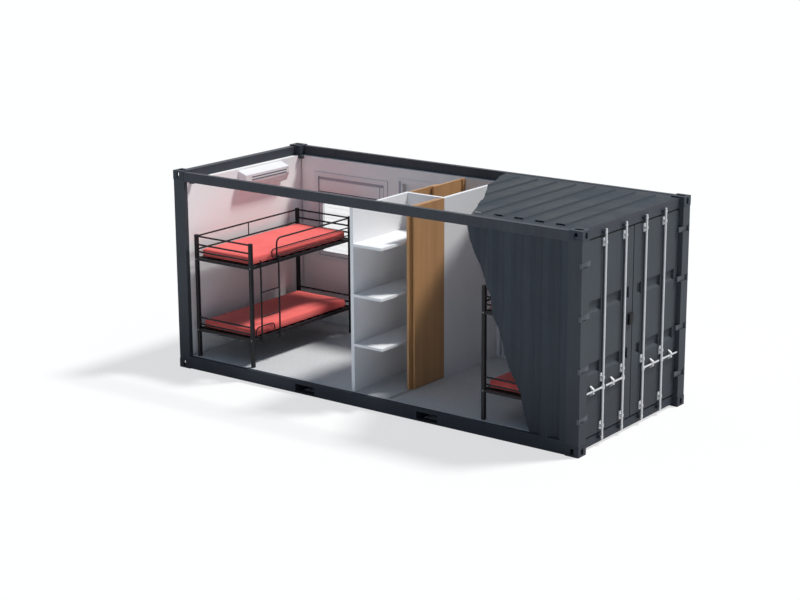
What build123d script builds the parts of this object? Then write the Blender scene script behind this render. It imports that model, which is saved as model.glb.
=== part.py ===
from build123d import *
import os
from math import cos, radians, sin

os.makedirs("parts", exist_ok=True)

# A 20-foot container made into a cabin of two sleeping rooms. Origin at the centre of the footprint, on
# the ground. +X points out of the cargo-door end, -Y out of the torn-open long side. Millimetres.

# Overall size over the corner castings
length = 6058.0
width = 2438.0
height = 2591.0

# Corner castings
casting_length = 178.0
casting_width = 162.0
casting_height = 118.0
casting_wall = 28.0
aperture_length = 124.0
aperture_width = 63.5
side_aperture_height = 80.0
side_aperture_width = 50.0

# Frame: rails stand a little inside the casting faces
rail_inset = 4.0
steel = 6.0
top_rail_height = 120.0
top_rail_width = 64.0
top_rail_drop = 11.0
roof_drop = 19.0
end_rail_height = 115.0
end_rail_width = 92.0
bottom_end_rail_width = 60.0
bottom_rail_clearance = 6.0
bottom_rail_height = 159.0
bottom_rail_top_flange = 48.0
bottom_rail_foot_flange = 30.0
post_leg = 60.0
post_side_leg = 174.0
post_end_leg = 150.0

# Fork pockets through the bottom rails
pocket_offset = 930.0
pocket_width = 305.0
pocket_height = 102.0
pocket_floor = 19.0

# Floor
floor_top = 170.0
deck_thickness = 28.0
cross_member_depth = 122.0
cross_member_flange = 45.0
cross_member_steel = 5.0
cross_member_end_gap = 0.5
cross_member_count = 12

# Corrugated sheets
sheet = 3.0
side_pitch = 250.0
side_flat = 70.0
side_depth = 36.0
blind_pitch = 250.0
blind_depth = 40.0
first_recess = 163.0
sheet_inset = 2.0
flute_pitch = 276.0
flute_base = 136.0
flute_crest = 100.0
flute_rise = 15.0
flute_half_length = 1010.0
first_flute = 414.0
roof_margin = 10.0

# Torn edge of the front panel and roof
tear_floor_x = 2372.0
tear_rail_x = 1480.0
tear_back_x = 440.0

# Linings and partitions
wall_top = 2455.0
partition_top = 2445.0
back_lining_inner = 1100.0
frame_stand_out = 12.0
front_lining = 25.0
blind_lining_inner = -2870.0
ceiling_thickness = 55.0
lining_setback = 260.0
partition = 47.0
block_left = -240.0
block_right = 360.0
cross_wall_y = -60.0
lining_seat = 2.0

# Openings in the back wall, from the blind end
window_width = 1240.0
window_sill = 1050.0
window_head = 2260.0
shutter_box_height = 210.0
left_window_x = -2630.0
right_window_x = 1470.0
doorway_width = 940.0
doorway_head = 2330.0
left_doorway_x = -1205.0
right_doorway_x = 405.0
frame_bar = 60.0
sash_bar = 55.0
sash_depth = 50.0
sash_set_back = 20.0
glass_thickness = 6.0
curtain_thickness = 9.0
curtain_slats = 18
jamb = 50.0
stop_width = 15.0
threshold_height = 20.0
room_door_thickness = 40.0
room_door_gap = 6.0
room_door_pin = 6.0
room_door_barrel = 8.0
room_barrel_gap = 4.5
room_hinge_levels = (420.0, 1230.0, 2050.0)
room_hinge_height = 100.0
room_flap_length = 42.0
room_flap_thickness = 5.0
room_panel_inset = 130.0
room_panel_groove = 4.0
lever_z = 1100.0
lever_inset = 65.0
lever_length = 120.0
lever_height = 18.0
rose_radius = 25.0
rose_thickness = 8.0
outer_rose_thickness = 5.0
lever_stem_radius = 9.0
lever_stand_off = 38.0
lever_thickness = 14.0
outer_lever_thickness = 10.0

# Cargo doors
header_height = 120.0
header_depth = 62.0
header_face_inset = 63.0
sill_base = 35.0
sill_height = 105.0
leaf_gap = 12.0
leaf_end_gap = 20.0
leaf_thickness = 52.0
leaf_face_inset = 57.0
leaf_stile = 80.0
leaf_sheet = 5.0
leaf_centre_gap = 16.0
door_post_face_inset = 37.5
hinge_pin = 8.0
hinge_knuckle = 12.5
hinge_bore_gap = 0.6
hinge_height = 60.0
hinge_lug_height = 16.0
hinge_axial_gap = 1.5
hinge_shelf_gap = 5.0
blade_thickness = 8.0
blade_overlap = 40.0
blade_set_back = 20.0
hinge_levels = (420.0, 1000.0, 1600.0, 2200.0)
panel_flute_levels = (952.0, 1672.0)
panel_flute_height = 142.0
panel_flute_depth = 28.0
panel_flute_slope = 30.0
panel_flute_margin = 40.0
trough_width = 52.0
trough_depth = 14.0
trough_slope = 8.0
gasket_reach = 6.0
gasket_centre_reach = 3.0
gasket_depth = 18.0
gasket_set_back = 12.0

# Locking bars
bar_radius = 13.0
bar_face_inset = 26.0
inner_bar_y = 229.0
outer_bar_y = 671.0
bar_end_inset = 66.0
cam_radius = 16.0
cam_nose = 20.0
cam_nose_radius = 8.0
cam_height = 18.0
handle_z = 695.0
handle_length = 379.0
handle_height = 18.0
handle_thickness = 10.0
handle_root_length = 60.0
handle_root_rise = 6.0
hub_radius = 19.0
hub_height = 50.0
catch_offset = 222.0
catch_width = 30.0
catch_half_height = 58.0
catch_arm = 14.0
bearing_levels = (236.0, 806.0, 2372.0)
bearing_plate_width = 48.0
bearing_plate_height = 96.0
bearing_plate = 5.0
bearing_height = 30.0
bearing_wall = 4.5
bearing_gap = 0.5
keeper_inset = 84.0
keeper_width = 78.0
keeper_cheek = 10.0
keeper_height = 38.0
keeper_reach = 26.0
keeper_back = 8.0

# Bunk beds
bunk_length = 2000.0
bunk_width = 908.0
bunk_end_drop = 15.0
bunk_front_y = -1117.0
left_bunk_x = -2759.0
right_bunk_x = 1677.0
post_size = 42.0
bunk_top = 1770.0
rail_tube = 22.0
upper_deck_z = 1456.0
lower_deck_z = 522.0
deck_tube = 34.0
slat_count = 12
upper_end_rails = (1553.0, 1645.0, 1753.0)
lower_end_rails = (600.0, 686.0)
wall_rail_rise = 30.0
mattress_thickness = 125.0
mattress_width = 880.0
mattress_margin = 18.0
ladder_near_y = -965.0
ladder_far_y = -620.0
ladder_foot = 455.0
ladder_head = 1535.0
rung_levels = (800.0, 1120.0)
guard_bend = 70.0
guard_rail_z = 1625.0
guard_loop = (95.0, 105.0)
guard_loop_bend = 35.0
hoop_near_y = -1045.0
hoop_far_y = -690.0
hoop_top = 670.0
hoop_bend = 55.0

# Wardrobe fit-out
shelf_thickness = 32.0
shelf_levels = (757.0, 1372.0, 1990.0)
shelf_reach = 423.0
wardrobe_leaf = 28.0
wardrobe_leaf_gap = 12.0
wardrobe_leaf_width = 605.0
right_inner_leaf_shift = 68.0
left_leaf_set_back = 19.0
wardrobe_post_width = 62.0
wardrobe_post_depth = 40.0
track_height = 8.0
track_width = 10.0
slide_seat = 0.3
running_gap = 6.0

# Air conditioner
aircon_width = 862.0
aircon_height = 242.0
aircon_depth = 135.0
aircon_centre_y = 259.0
aircon_top = 2432.0
aircon_slope = 47.0
aircon_chin = 110.0
aircon_chin_depth = 90.0

# Worked out from the sizes above
half_length = length / 2
half_width = width / 2
rail_face = half_width - rail_inset
end_face = half_length - rail_inset
rail_top = height - top_rail_drop
rail_underside = rail_top - top_rail_height
roof_base = height - roof_drop
end_rail_underside = roof_base - end_rail_height
bottom_rail_top = bottom_rail_clearance + bottom_rail_height
casting_inner_x = half_length - casting_length
casting_inner_y = half_width - casting_width
door_post_inner = casting_inner_y
sheet_face = rail_face - sheet_inset
sheet_inner = sheet_face - side_depth
blind_sheet_face = end_face - sheet_inset
blind_sheet_inner = blind_sheet_face - blind_depth
frame_inner_y = back_lining_inner - frame_stand_out
post_side_end = end_face - post_side_leg
post_height = height - 2 * casting_height
door_post_face = half_length - door_post_face_inset
header_face = half_length - header_face_inset
header_base = roof_base - header_height
sill_top = sill_base + sill_height
leaf_face = half_length - leaf_face_inset
leaf_back = leaf_face - leaf_thickness
leaf_base = sill_top + leaf_end_gap
leaf_top = header_base - leaf_end_gap
leaf_edge = door_post_inner - leaf_gap
leaf_inner_edge = leaf_centre_gap / 2
pin_x = half_length - hinge_knuckle
pin_y = half_width - hinge_knuckle
bar_x = half_length - bar_face_inset
bar_base = bar_end_inset
bar_top = height - bar_end_inset
deck_base = floor_top - deck_thickness
hinge_notch = hinge_height + 2 * (hinge_axial_gap + hinge_lug_height)


# ---------------------------------------------------------------- corner castings
# Eight hollow castings with a slot in the outer side, the end, and the top or bottom face
casting_centre_x = half_length - casting_length / 2
casting_centre_y = half_width - casting_width / 2
with BuildPart() as corner_castings:
    for centre_z, outer_face, inward in (
        (casting_height / 2, 0, 1),
        (height - casting_height / 2, height, -1),
    ):
        with Locations((casting_centre_x, -casting_centre_y, centre_z)):
            Box(casting_length, casting_width, casting_height)
            Box(
                casting_length - 2 * casting_wall,
                casting_width - 2 * casting_wall,
                casting_height - 2 * casting_wall,
                mode=Mode.SUBTRACT,
            )
        with BuildSketch(Plane.XZ.offset(half_width)):
            with Locations((casting_centre_x, centre_z)):
                SlotOverall(side_aperture_height, side_aperture_width, rotation=90)
        extrude(amount=-casting_wall, mode=Mode.SUBTRACT)
        with BuildSketch(Plane.YZ.offset(half_length)):
            with Locations((-casting_centre_y, centre_z)):
                SlotOverall(side_aperture_height, side_aperture_width, rotation=90)
        extrude(amount=-casting_wall, mode=Mode.SUBTRACT)
        with BuildSketch(Plane.XY.offset(outer_face)):
            with Locations((casting_centre_x, -casting_centre_y)):
                SlotOverall(aperture_length, aperture_width)
        extrude(amount=inward * casting_wall, mode=Mode.SUBTRACT)
    mirror(about=Plane.YZ)
    mirror(about=Plane.XZ)
corner_castings.part.label = "corner_castings"
export_step(corner_castings.part, "parts/corner_castings.step")

# ---------------------------------------------------------------- corner posts
# Blind end: a folded L of two legs, hollow. Door end: a deeper one, flush with the castings, with a
# lined notch across it at each hinge.
door_post_back = door_post_face - post_leg - leaf_thickness / 2
door_post_width = rail_face - door_post_inner
notch_depth = end_face - door_post_face
with BuildPart() as corner_posts:
    with BuildSketch(Plane.XY.offset(casting_height)):
        with BuildLine():
            Polyline(
                (-end_face, -rail_face),
                (-end_face + post_side_leg, -rail_face),
                (-end_face + post_side_leg, -rail_face + post_leg),
                (-end_face + post_leg, -rail_face + post_leg),
                (-end_face + post_leg, -rail_face + post_end_leg),
                (-end_face, -rail_face + post_end_leg),
                close=True,
            )
        make_face()
        offset(amount=-steel, mode=Mode.SUBTRACT)
    extrude(amount=post_height)
    with BuildSketch(Plane.XY.offset(casting_height)):
        with BuildLine():
            Polyline(
                (end_face, -rail_face),
                (end_face, -door_post_inner),
                (door_post_back, -door_post_inner),
                (door_post_back, -rail_face + post_leg),
                (post_side_end, -rail_face + post_leg),
                (post_side_end, -rail_face),
                close=True,
            )
        make_face()
        offset(amount=-steel, mode=Mode.SUBTRACT)
    extrude(amount=post_height)
    for level in hinge_levels:
        with Locations((end_face, -rail_face + door_post_width / 2, level)):
            Box(
                notch_depth + steel, door_post_width, hinge_notch + 2 * steel,
                align=(Align.MAX, Align.CENTER, Align.CENTER),
            )
            Box(
                notch_depth, door_post_width, hinge_notch,
                align=(Align.MAX, Align.CENTER, Align.CENTER), mode=Mode.SUBTRACT,
            )
    mirror(about=Plane.XZ)
corner_posts.part.label = "corner_posts"
export_step(corner_posts.part, "parts/corner_posts.step")

# ---------------------------------------------------------------- rails
pocket_outer_width = pocket_width + 2 * steel
pocket_outer_height = pocket_height + 2 * steel
pocket_centre_z = pocket_floor + pocket_height / 2

# Folded channels, open inwards, with a cut-out for each fork pocket
with BuildPart() as bottom_side_rails:
    with BuildSketch(Plane.YZ.offset(-casting_inner_x)):
        with BuildLine():
            Polyline(
                (-rail_face, bottom_rail_clearance),
                (-rail_face + bottom_rail_foot_flange, bottom_rail_clearance),
                (-rail_face + bottom_rail_foot_flange, bottom_rail_clearance + steel),
                (-rail_face + steel, bottom_rail_clearance + steel),
                (-rail_face + steel, bottom_rail_top - steel),
                (-rail_face + bottom_rail_top_flange, bottom_rail_top - steel),
                (-rail_face + bottom_rail_top_flange, bottom_rail_top),
                (-rail_face, bottom_rail_top),
                close=True,
            )
        make_face()
    extrude(amount=2 * casting_inner_x)
    with BuildSketch(Plane.XZ.offset(half_width)):
        with Locations((-pocket_offset, pocket_centre_z), (pocket_offset, pocket_centre_z)):
            Rectangle(pocket_outer_width, pocket_outer_height)
    extrude(amount=-2 * bottom_rail_top_flange, mode=Mode.SUBTRACT)
    mirror(about=Plane.XZ)
bottom_side_rails.part.label = "bottom_side_rails"
export_step(bottom_side_rails.part, "parts/bottom_side_rails.step")

with BuildPart() as top_side_rails:
    with BuildSketch(Plane.YZ.offset(-casting_inner_x)):
        with Locations((-rail_face + top_rail_width / 2, rail_top - top_rail_height / 2)):
            RectangleRounded(top_rail_width, top_rail_height, steel)
            Rectangle(top_rail_width - 2 * steel, top_rail_height - 2 * steel, mode=Mode.SUBTRACT)
    extrude(amount=2 * casting_inner_x)
    mirror(about=Plane.XZ)
top_side_rails.part.label = "top_side_rails"
export_step(top_side_rails.part, "parts/top_side_rails.step")

with BuildPart() as blind_end_rails:
    with BuildSketch(Plane.XZ.offset(-casting_inner_y)):
        for rail_width, rail_height, rail_base in (
            (end_rail_width, end_rail_height, end_rail_underside),
            (bottom_end_rail_width, bottom_rail_height, bottom_rail_clearance),
        ):
            with Locations((-end_face + rail_width / 2, rail_base + rail_height / 2)):
                Rectangle(rail_width, rail_height)
                Rectangle(rail_width - 2 * steel, rail_height - 2 * steel, mode=Mode.SUBTRACT)
    extrude(amount=2 * casting_inner_y)
blind_end_rails.part.label = "blind_end_rails"
export_step(blind_end_rails.part, "parts/blind_end_rails.step")

with BuildPart() as door_header:
    with BuildSketch(Plane.XZ.offset(-casting_inner_y)):
        with Locations((header_face - header_depth / 2, roof_base - header_height / 2)):
            Rectangle(header_depth, header_height)
            Rectangle(header_depth - 2 * steel, header_height - 2 * steel, mode=Mode.SUBTRACT)
    extrude(amount=2 * casting_inner_y)
door_header.part.label = "door_header"
export_step(door_header.part, "parts/door_header.step")

with BuildPart() as door_sill:
    with BuildSketch(Plane.XZ.offset(-casting_inner_y)):
        with Locations((header_face - header_depth / 2, sill_base + sill_height / 2)):
            Rectangle(header_depth, sill_height)
            Rectangle(header_depth - 2 * steel, sill_height - 2 * steel, mode=Mode.SUBTRACT)
    extrude(amount=2 * casting_inner_y)
door_sill.part.label = "door_sill"
export_step(door_sill.part, "parts/door_sill.step")

# ---------------------------------------------------------------- floor
# Pressed channels from web to web of the side rails, with none where a fork pocket passes
cross_member_span = 2 * (casting_inner_x - post_leg)
cross_member_pitch = cross_member_span / (cross_member_count - 1)
cross_member_xs = [
    -cross_member_span / 2 + i * cross_member_pitch
    for i in range(cross_member_count)
    if abs(abs(-cross_member_span / 2 + i * cross_member_pitch) - pocket_offset)
    > pocket_outer_width / 2 + cross_member_flange
]
cross_member_half = rail_face - steel - cross_member_end_gap

with BuildPart() as floor_cross_members:
    with BuildSketch(Plane.XZ.offset(-cross_member_half)):
        with Locations([(x, deck_base - cross_member_depth / 2) for x in cross_member_xs]):
            Rectangle(cross_member_flange, cross_member_depth)
            with Locations((cross_member_steel, 0)):
                Rectangle(
                    cross_member_flange,
                    cross_member_depth - 2 * cross_member_steel,
                    mode=Mode.SUBTRACT,
                )
    extrude(amount=2 * cross_member_half)
floor_cross_members.part.label = "floor_cross_members"
export_step(floor_cross_members.part, "parts/floor_cross_members.step")

with BuildPart() as fork_pockets:
    with BuildSketch(Plane.XZ.offset(-rail_face)):
        with Locations((-pocket_offset, pocket_centre_z), (pocket_offset, pocket_centre_z)):
            Rectangle(pocket_outer_width, pocket_outer_height)
            Rectangle(pocket_width, pocket_height, mode=Mode.SUBTRACT)
    extrude(amount=2 * rail_face)
fork_pockets.part.label = "fork_pockets"
export_step(fork_pockets.part, "parts/fork_pockets.step")

deck_half_width = rail_face - bottom_rail_top_flange
deck_blind_x = -end_face + bottom_end_rail_width
deck_door_x = header_face - header_depth
with BuildPart() as floor_deck:
    with BuildSketch(Plane.XY.offset(deck_base)):
        with BuildLine():
            Polyline(
                (deck_blind_x, -casting_inner_y),
                (-post_side_end, -casting_inner_y),
                (-post_side_end, -deck_half_width),
                (post_side_end, -deck_half_width),
                (post_side_end, -casting_inner_y),
                (deck_door_x, -casting_inner_y),
                (deck_door_x, casting_inner_y),
                (post_side_end, casting_inner_y),
                (post_side_end, deck_half_width),
                (-post_side_end, deck_half_width),
                (-post_side_end, casting_inner_y),
                (deck_blind_x, casting_inner_y),
                close=True,
            )
        make_face()
    extrude(amount=deck_thickness)
floor_deck.part.label = "floor_deck"
export_step(floor_deck.part, "parts/floor_deck.step")

# ---------------------------------------------------------------- torn edges
# The tear runs from the ridge of the front rail down to the floor, and back across the roof.
front_tear = [
    (tear_rail_x, rail_underside),
    (tear_rail_x + 95, rail_underside - 240),
    (tear_rail_x + 270, rail_underside - 655),
    (tear_rail_x + 345, rail_underside - 760),
    (tear_rail_x + 372, rail_underside - 990),
    (tear_rail_x + 530, rail_underside - 1390),
    (tear_rail_x + 690, rail_underside - 1770),
    (tear_rail_x + 765, rail_underside - 1900),
    (tear_floor_x, bottom_rail_top),
]
roof_tear = [
    (tear_rail_x + 20, -rail_face),
    (tear_rail_x + 10, -1110.0),
    (tear_rail_x - 140, -800.0),
    (tear_rail_x - 260, -550.0),
    (tear_rail_x - 385, -290.0),
    (tear_rail_x - 590, 70.0),
    (tear_rail_x - 755, 330.0),
    (tear_rail_x - 805, 565.0),
    (tear_rail_x - 975, 915.0),
    (tear_back_x, rail_face),
]


def kept_side(tear, shift, far_x):
    """Closed outline of what is left between a tear, moved by shift, and the door end."""
    moved = [(x + shift, y) for x, y in tear]
    return moved + [(far_x, tear[-1][1]), (far_x, tear[0][1])]


# ---------------------------------------------------------------- corrugated skins
def corrugation(start, stop, first, pitch, flat, depth, face, inner_sign):
    """Zig-zag outline of a corrugated sheet seen from above, as (along, across) points."""
    slope = (pitch - 2 * flat) / 2
    recess = face + inner_sign * depth
    outer = [(start, face)]
    count = int((stop - first) / pitch) + 1
    for i in range(count):
        centre = first + i * pitch
        if centre - flat / 2 - slope > start and centre + flat / 2 + slope < stop:
            outer.append((centre - flat / 2 - slope, face))
            outer.append((centre - flat / 2, recess))
            outer.append((centre + flat / 2, recess))
            outer.append((centre + flat / 2 + slope, face))
    outer.append((stop, face))
    inner = [(along, across + inner_sign * sheet) for along, across in reversed(outer)]
    return outer + inner


recess_depth = side_depth - sheet
side_start = -post_side_end
side_phase = post_side_end - first_recess - side_pitch * int((2 * post_side_end) / side_pitch)
skin_height = rail_underside - bottom_rail_top

with BuildPart() as front_panel:
    with BuildSketch(Plane.XY.offset(bottom_rail_top)):
        with BuildLine():
            Polyline(
                *corrugation(
                    side_start, post_side_end, side_phase, side_pitch, side_flat,
                    recess_depth, -sheet_face, 1,
                ),
                close=True,
            )
        make_face()
    extrude(amount=skin_height)
    with BuildSketch(Plane.XZ.offset(sheet_inner)):
        with BuildLine():
            Polyline(*kept_side(front_tear, 0, half_length), close=True)
        make_face()
    extrude(amount=2 * side_depth, mode=Mode.INTERSECT)
front_panel.part.label = "front_panel"
export_step(front_panel.part, "parts/front_panel.step")

# Back skin: one sheet, then cut into piers and the pieces over and under the openings
openings = [
    (left_window_x, window_width, window_sill, window_head),
    (left_doorway_x, doorway_width, floor_top, doorway_head),
    (right_doorway_x, doorway_width, floor_top, doorway_head),
    (right_window_x, window_width, window_sill, window_head),
]
opening_xs = [side_start] + [x + part for x, w, _, _ in openings for part in (0, w)]
opening_xs.append(post_side_end)
pier_spans = list(zip(opening_xs[0::2], opening_xs[1::2]))


def pier_rectangles(low, high, start, stop):
    """Full-height rectangles between the openings, as (centre x, centre z, width, height)."""
    spans = [(max(a, start), min(b, stop)) for a, b in pier_spans]
    return [((a + b) / 2, (low + high) / 2, b - a, high - low) for a, b in spans]


def spandrel_rectangles(low, high):
    """Rectangles over each opening, and under those that have a sill."""
    over = [(x + w / 2, (head + high) / 2, w, high - head) for x, w, _, head in openings]
    under = [
        (x + w / 2, (low + sill) / 2, w, sill - low)
        for x, w, sill, _ in openings
        if sill > floor_top
    ]
    return over + under


def back_skin(rectangles):
    with BuildPart() as skin:
        with BuildSketch(Plane.XY.offset(bottom_rail_top)):
            with BuildLine():
                Polyline(
                    *corrugation(
                        side_start, post_side_end, side_phase, side_pitch, side_flat,
                        recess_depth, sheet_face, -1,
                    ),
                    close=True,
                )
            make_face()
        extrude(amount=skin_height)
        with BuildSketch(Plane.XZ.offset(-half_width)):
            for x, z, w, h in rectangles:
                with Locations((x, z)):
                    Rectangle(w, h)
        extrude(amount=2 * side_depth, mode=Mode.INTERSECT)
    return skin


back_skin_piers = back_skin(
    pier_rectangles(bottom_rail_top, rail_underside, side_start, post_side_end)
)
back_skin_piers.part.label = "back_skin_piers"
export_step(back_skin_piers.part, "parts/back_skin_piers.step")

back_skin_spandrels = back_skin(spandrel_rectangles(bottom_rail_top, rail_underside))
back_skin_spandrels.part.label = "back_skin_spandrels"
export_step(back_skin_spandrels.part, "parts/back_skin_spandrels.step")

blind_skin_half = rail_face - post_end_leg
with BuildPart() as blind_skin:
    with BuildSketch(Plane.XY.offset(bottom_rail_top)):
        with BuildLine():
            Polyline(
                *[
                    (across, along)
                    for along, across in corrugation(
                        -blind_skin_half, blind_skin_half, -3 * blind_pitch, blind_pitch, side_flat,
                        blind_depth - sheet, -blind_sheet_face, 1,
                    )
                ],
                close=True,
            )
        make_face()
    extrude(amount=end_rail_underside - bottom_rail_top)
blind_skin.part.label = "blind_skin"
export_step(blind_skin.part, "parts/blind_skin.step")

# Roof: a flat plate between the side rails with pressed cross flutes, hollow from below, torn on one side
flute_count = int((post_side_end - first_flute + 2 * flute_pitch) / flute_pitch)
flute_xs = [half_length - first_flute - i * flute_pitch for i in range(flute_count)]
roof_half_width = rail_face - top_rail_width
with BuildPart() as roof_panel:
    with BuildSketch(Plane.XY.offset(roof_base)):
        with BuildLine():
            Polyline(
                (0, -roof_half_width),
                (casting_inner_x - 1, -roof_half_width),
                (casting_inner_x - 1, -casting_inner_y + 1),
                (header_face - roof_margin, -casting_inner_y + 1),
                (header_face - roof_margin, casting_inner_y - 1),
                (casting_inner_x - 1, casting_inner_y - 1),
                (casting_inner_x - 1, roof_half_width),
                (0, roof_half_width),
                close=True,
            )
        make_face()
    extrude(amount=sheet)
    for rise, mode in ((sheet, Mode.ADD), (0, Mode.SUBTRACT)):
        with BuildSketch(Plane.XZ.offset(-flute_half_length)):
            for x in flute_xs:
                with BuildLine():
                    Polyline(
                        (x - flute_base / 2, roof_base + rise),
                        (x + flute_base / 2, roof_base + rise),
                        (x + flute_crest / 2, roof_base + rise + flute_rise),
                        (x - flute_crest / 2, roof_base + rise + flute_rise),
                        close=True,
                    )
                make_face()
        extrude(amount=2 * flute_half_length, mode=mode)
    with BuildSketch(Plane.XY.offset(roof_base)):
        with BuildLine():
            Polyline(*kept_side(roof_tear, 0, half_length), close=True)
        make_face()
    extrude(amount=2 * flute_rise, mode=Mode.INTERSECT)
roof_panel.part.label = "roof_panel"
export_step(roof_panel.part, "parts/roof_panel.step")

# ---------------------------------------------------------------- linings
lining_height = wall_top - floor_top
back_lining_thickness = sheet_inner - back_lining_inner


def back_lining(rectangles):
    with BuildPart() as lining:
        with BuildSketch(Plane.XZ.offset(-sheet_inner)):
            for x, z, w, h in rectangles:
                with Locations((x, z)):
                    Rectangle(w, h)
        extrude(amount=back_lining_thickness)
    return lining


back_lining_piers = back_lining(
    pier_rectangles(floor_top, wall_top, blind_lining_inner, post_side_end)
)
back_lining_piers.part.label = "back_lining_piers"
export_step(back_lining_piers.part, "parts/back_lining_piers.step")

back_lining_spandrels = back_lining(spandrel_rectangles(floor_top, wall_top))
back_lining_spandrels.part.label = "back_lining_spandrels"
export_step(back_lining_spandrels.part, "parts/back_lining_spandrels.step")

with BuildPart() as blind_lining:
    with BuildSketch(Plane.XY.offset(floor_top)):
        with BuildLine():
            Polyline(
                (-blind_sheet_inner, -blind_skin_half),
                (-end_face + post_leg, -blind_skin_half),
                (-end_face + post_leg, -rail_face + post_leg),
                (blind_lining_inner, -rail_face + post_leg),
                (blind_lining_inner, rail_face - post_leg),
                (-end_face + post_leg, rail_face - post_leg),
                (-end_face + post_leg, blind_skin_half),
                (-blind_sheet_inner, blind_skin_half),
                close=True,
            )
        make_face()
    extrude(amount=wall_top - floor_top)
blind_lining.part.label = "blind_lining"
export_step(blind_lining.part, "parts/blind_lining.step")

with BuildPart() as front_lining_panel:
    with BuildSketch(Plane.XZ.offset(sheet_inner - front_lining)):
        with BuildLine():
            Polyline(*kept_side(front_tear, lining_setback, post_side_end), close=True)
        make_face()
        with Locations((0, floor_top + lining_height / 2)):
            Rectangle(length, lining_height, mode=Mode.INTERSECT)
    extrude(amount=front_lining)
front_lining_panel.part.label = "front_lining"
export_step(front_lining_panel.part, "parts/front_lining.step")

ceiling_half_width = rail_face - top_rail_width - roof_margin / 2
with BuildPart() as ceiling_lining:
    with BuildSketch(Plane.XY.offset(wall_top)):
        with BuildLine():
            Polyline(*kept_side(roof_tear, lining_setback, post_side_end), close=True)
        make_face()
        Rectangle(length, 2 * ceiling_half_width, mode=Mode.INTERSECT)
    extrude(amount=ceiling_thickness)
ceiling_lining.part.label = "ceiling_lining"
export_step(ceiling_lining.part, "parts/ceiling_lining.step")

# ---------------------------------------------------------------- windows
window_height = window_head - window_sill
window_inner_width = window_width - 2 * frame_bar
pane_base = window_sill + frame_bar
pane_top = window_head - frame_bar - shutter_box_height
pane_height = pane_top - pane_base
sash_inner_y = frame_inner_y + sash_set_back
window_depth = sheet_face - frame_inner_y
window_centres = [x + window_width / 2 for x in (left_window_x, right_window_x)]

with BuildPart() as window_frames:
    with BuildSketch(Plane.XZ.offset(-sheet_face)):
        with Locations([(x, window_sill + window_height / 2) for x in window_centres]):
            Rectangle(window_width, window_height)
            Rectangle(window_inner_width, window_height - 2 * frame_bar, mode=Mode.SUBTRACT)
    extrude(amount=window_depth)
    with BuildSketch(Plane.XZ.offset(-sash_inner_y - sash_depth)):
        with Locations([(x, pane_base + pane_height / 2) for x in window_centres]):
            Rectangle(window_inner_width, pane_height)
            Rectangle(
                window_inner_width - 2 * sash_bar, pane_height - 2 * sash_bar, mode=Mode.SUBTRACT
            )
    extrude(amount=sash_depth)
window_frames.part.label = "window_frames"
export_step(window_frames.part, "parts/window_frames.step")

with BuildPart() as window_glass:
    with BuildSketch(Plane.XZ.offset(-sash_inner_y - sash_depth / 2)):
        with Locations([(x, pane_base + pane_height / 2) for x in window_centres]):
            Rectangle(window_inner_width - 2 * sash_bar, pane_height - 2 * sash_bar)
    extrude(amount=glass_thickness)
window_glass.part.label = "window_glass"
export_step(window_glass.part, "parts/window_glass.step")

# Roller shutters: a box over each pane, and the lowered curtain with a groove between slats
slat_pitch = pane_height / curtain_slats
curtain_face = sash_inner_y + sash_depth + curtain_thickness + running_gap
groove = curtain_thickness / 4
curtain_outline = [(curtain_face - curtain_thickness, pane_base)]
for i in range(curtain_slats):
    low = pane_base + i * slat_pitch
    curtain_outline.append((curtain_face - groove, low))
    curtain_outline.append((curtain_face, low + groove))
    curtain_outline.append((curtain_face, low + slat_pitch - groove))
curtain_outline.append((curtain_face - groove, pane_top))
curtain_outline.append((curtain_face - curtain_thickness, pane_top))
with BuildPart() as roller_shutters:
    with BuildSketch(Plane.XZ.offset(-sheet_face)):
        with Locations([(x, pane_top + shutter_box_height / 2) for x in window_centres]):
            Rectangle(window_inner_width, shutter_box_height)
    extrude(amount=sheet_face - sash_inner_y)
    for x in window_centres:
        with BuildSketch(Plane.YZ.offset(x - window_inner_width / 2)):
            with BuildLine():
                Polyline(*curtain_outline, close=True)
            make_face()
        extrude(amount=window_inner_width)
roller_shutters.part.label = "roller_shutters"
export_step(roller_shutters.part, "parts/roller_shutters.step")

# ---------------------------------------------------------------- room doors in the back wall
# The leaf closes on a stop and opens outwards on barrels that stand in front of the frame.
room_pin_y = half_width - room_door_barrel - sheet_inset / 4
frame_face = room_pin_y - room_door_barrel - room_barrel_gap
leaf_inner_y = frame_face - room_door_thickness
stop_face = leaf_inner_y - room_door_gap
room_leaf_base = floor_top + threshold_height + room_door_gap
room_leaf_top = doorway_head - jamb - room_door_gap
room_leaf_width = doorway_width - 2 * jamb - 2 * room_door_gap
# side, hinge-side edge of the doorway, direction from hinge to latch
room_doors = [
    ("left", left_doorway_x, 1),
    ("right", right_doorway_x + doorway_width, -1),
]


def room_pin_x(hinge_edge, towards_latch):
    return hinge_edge + towards_latch * (jamb + room_door_gap / 2)


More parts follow.
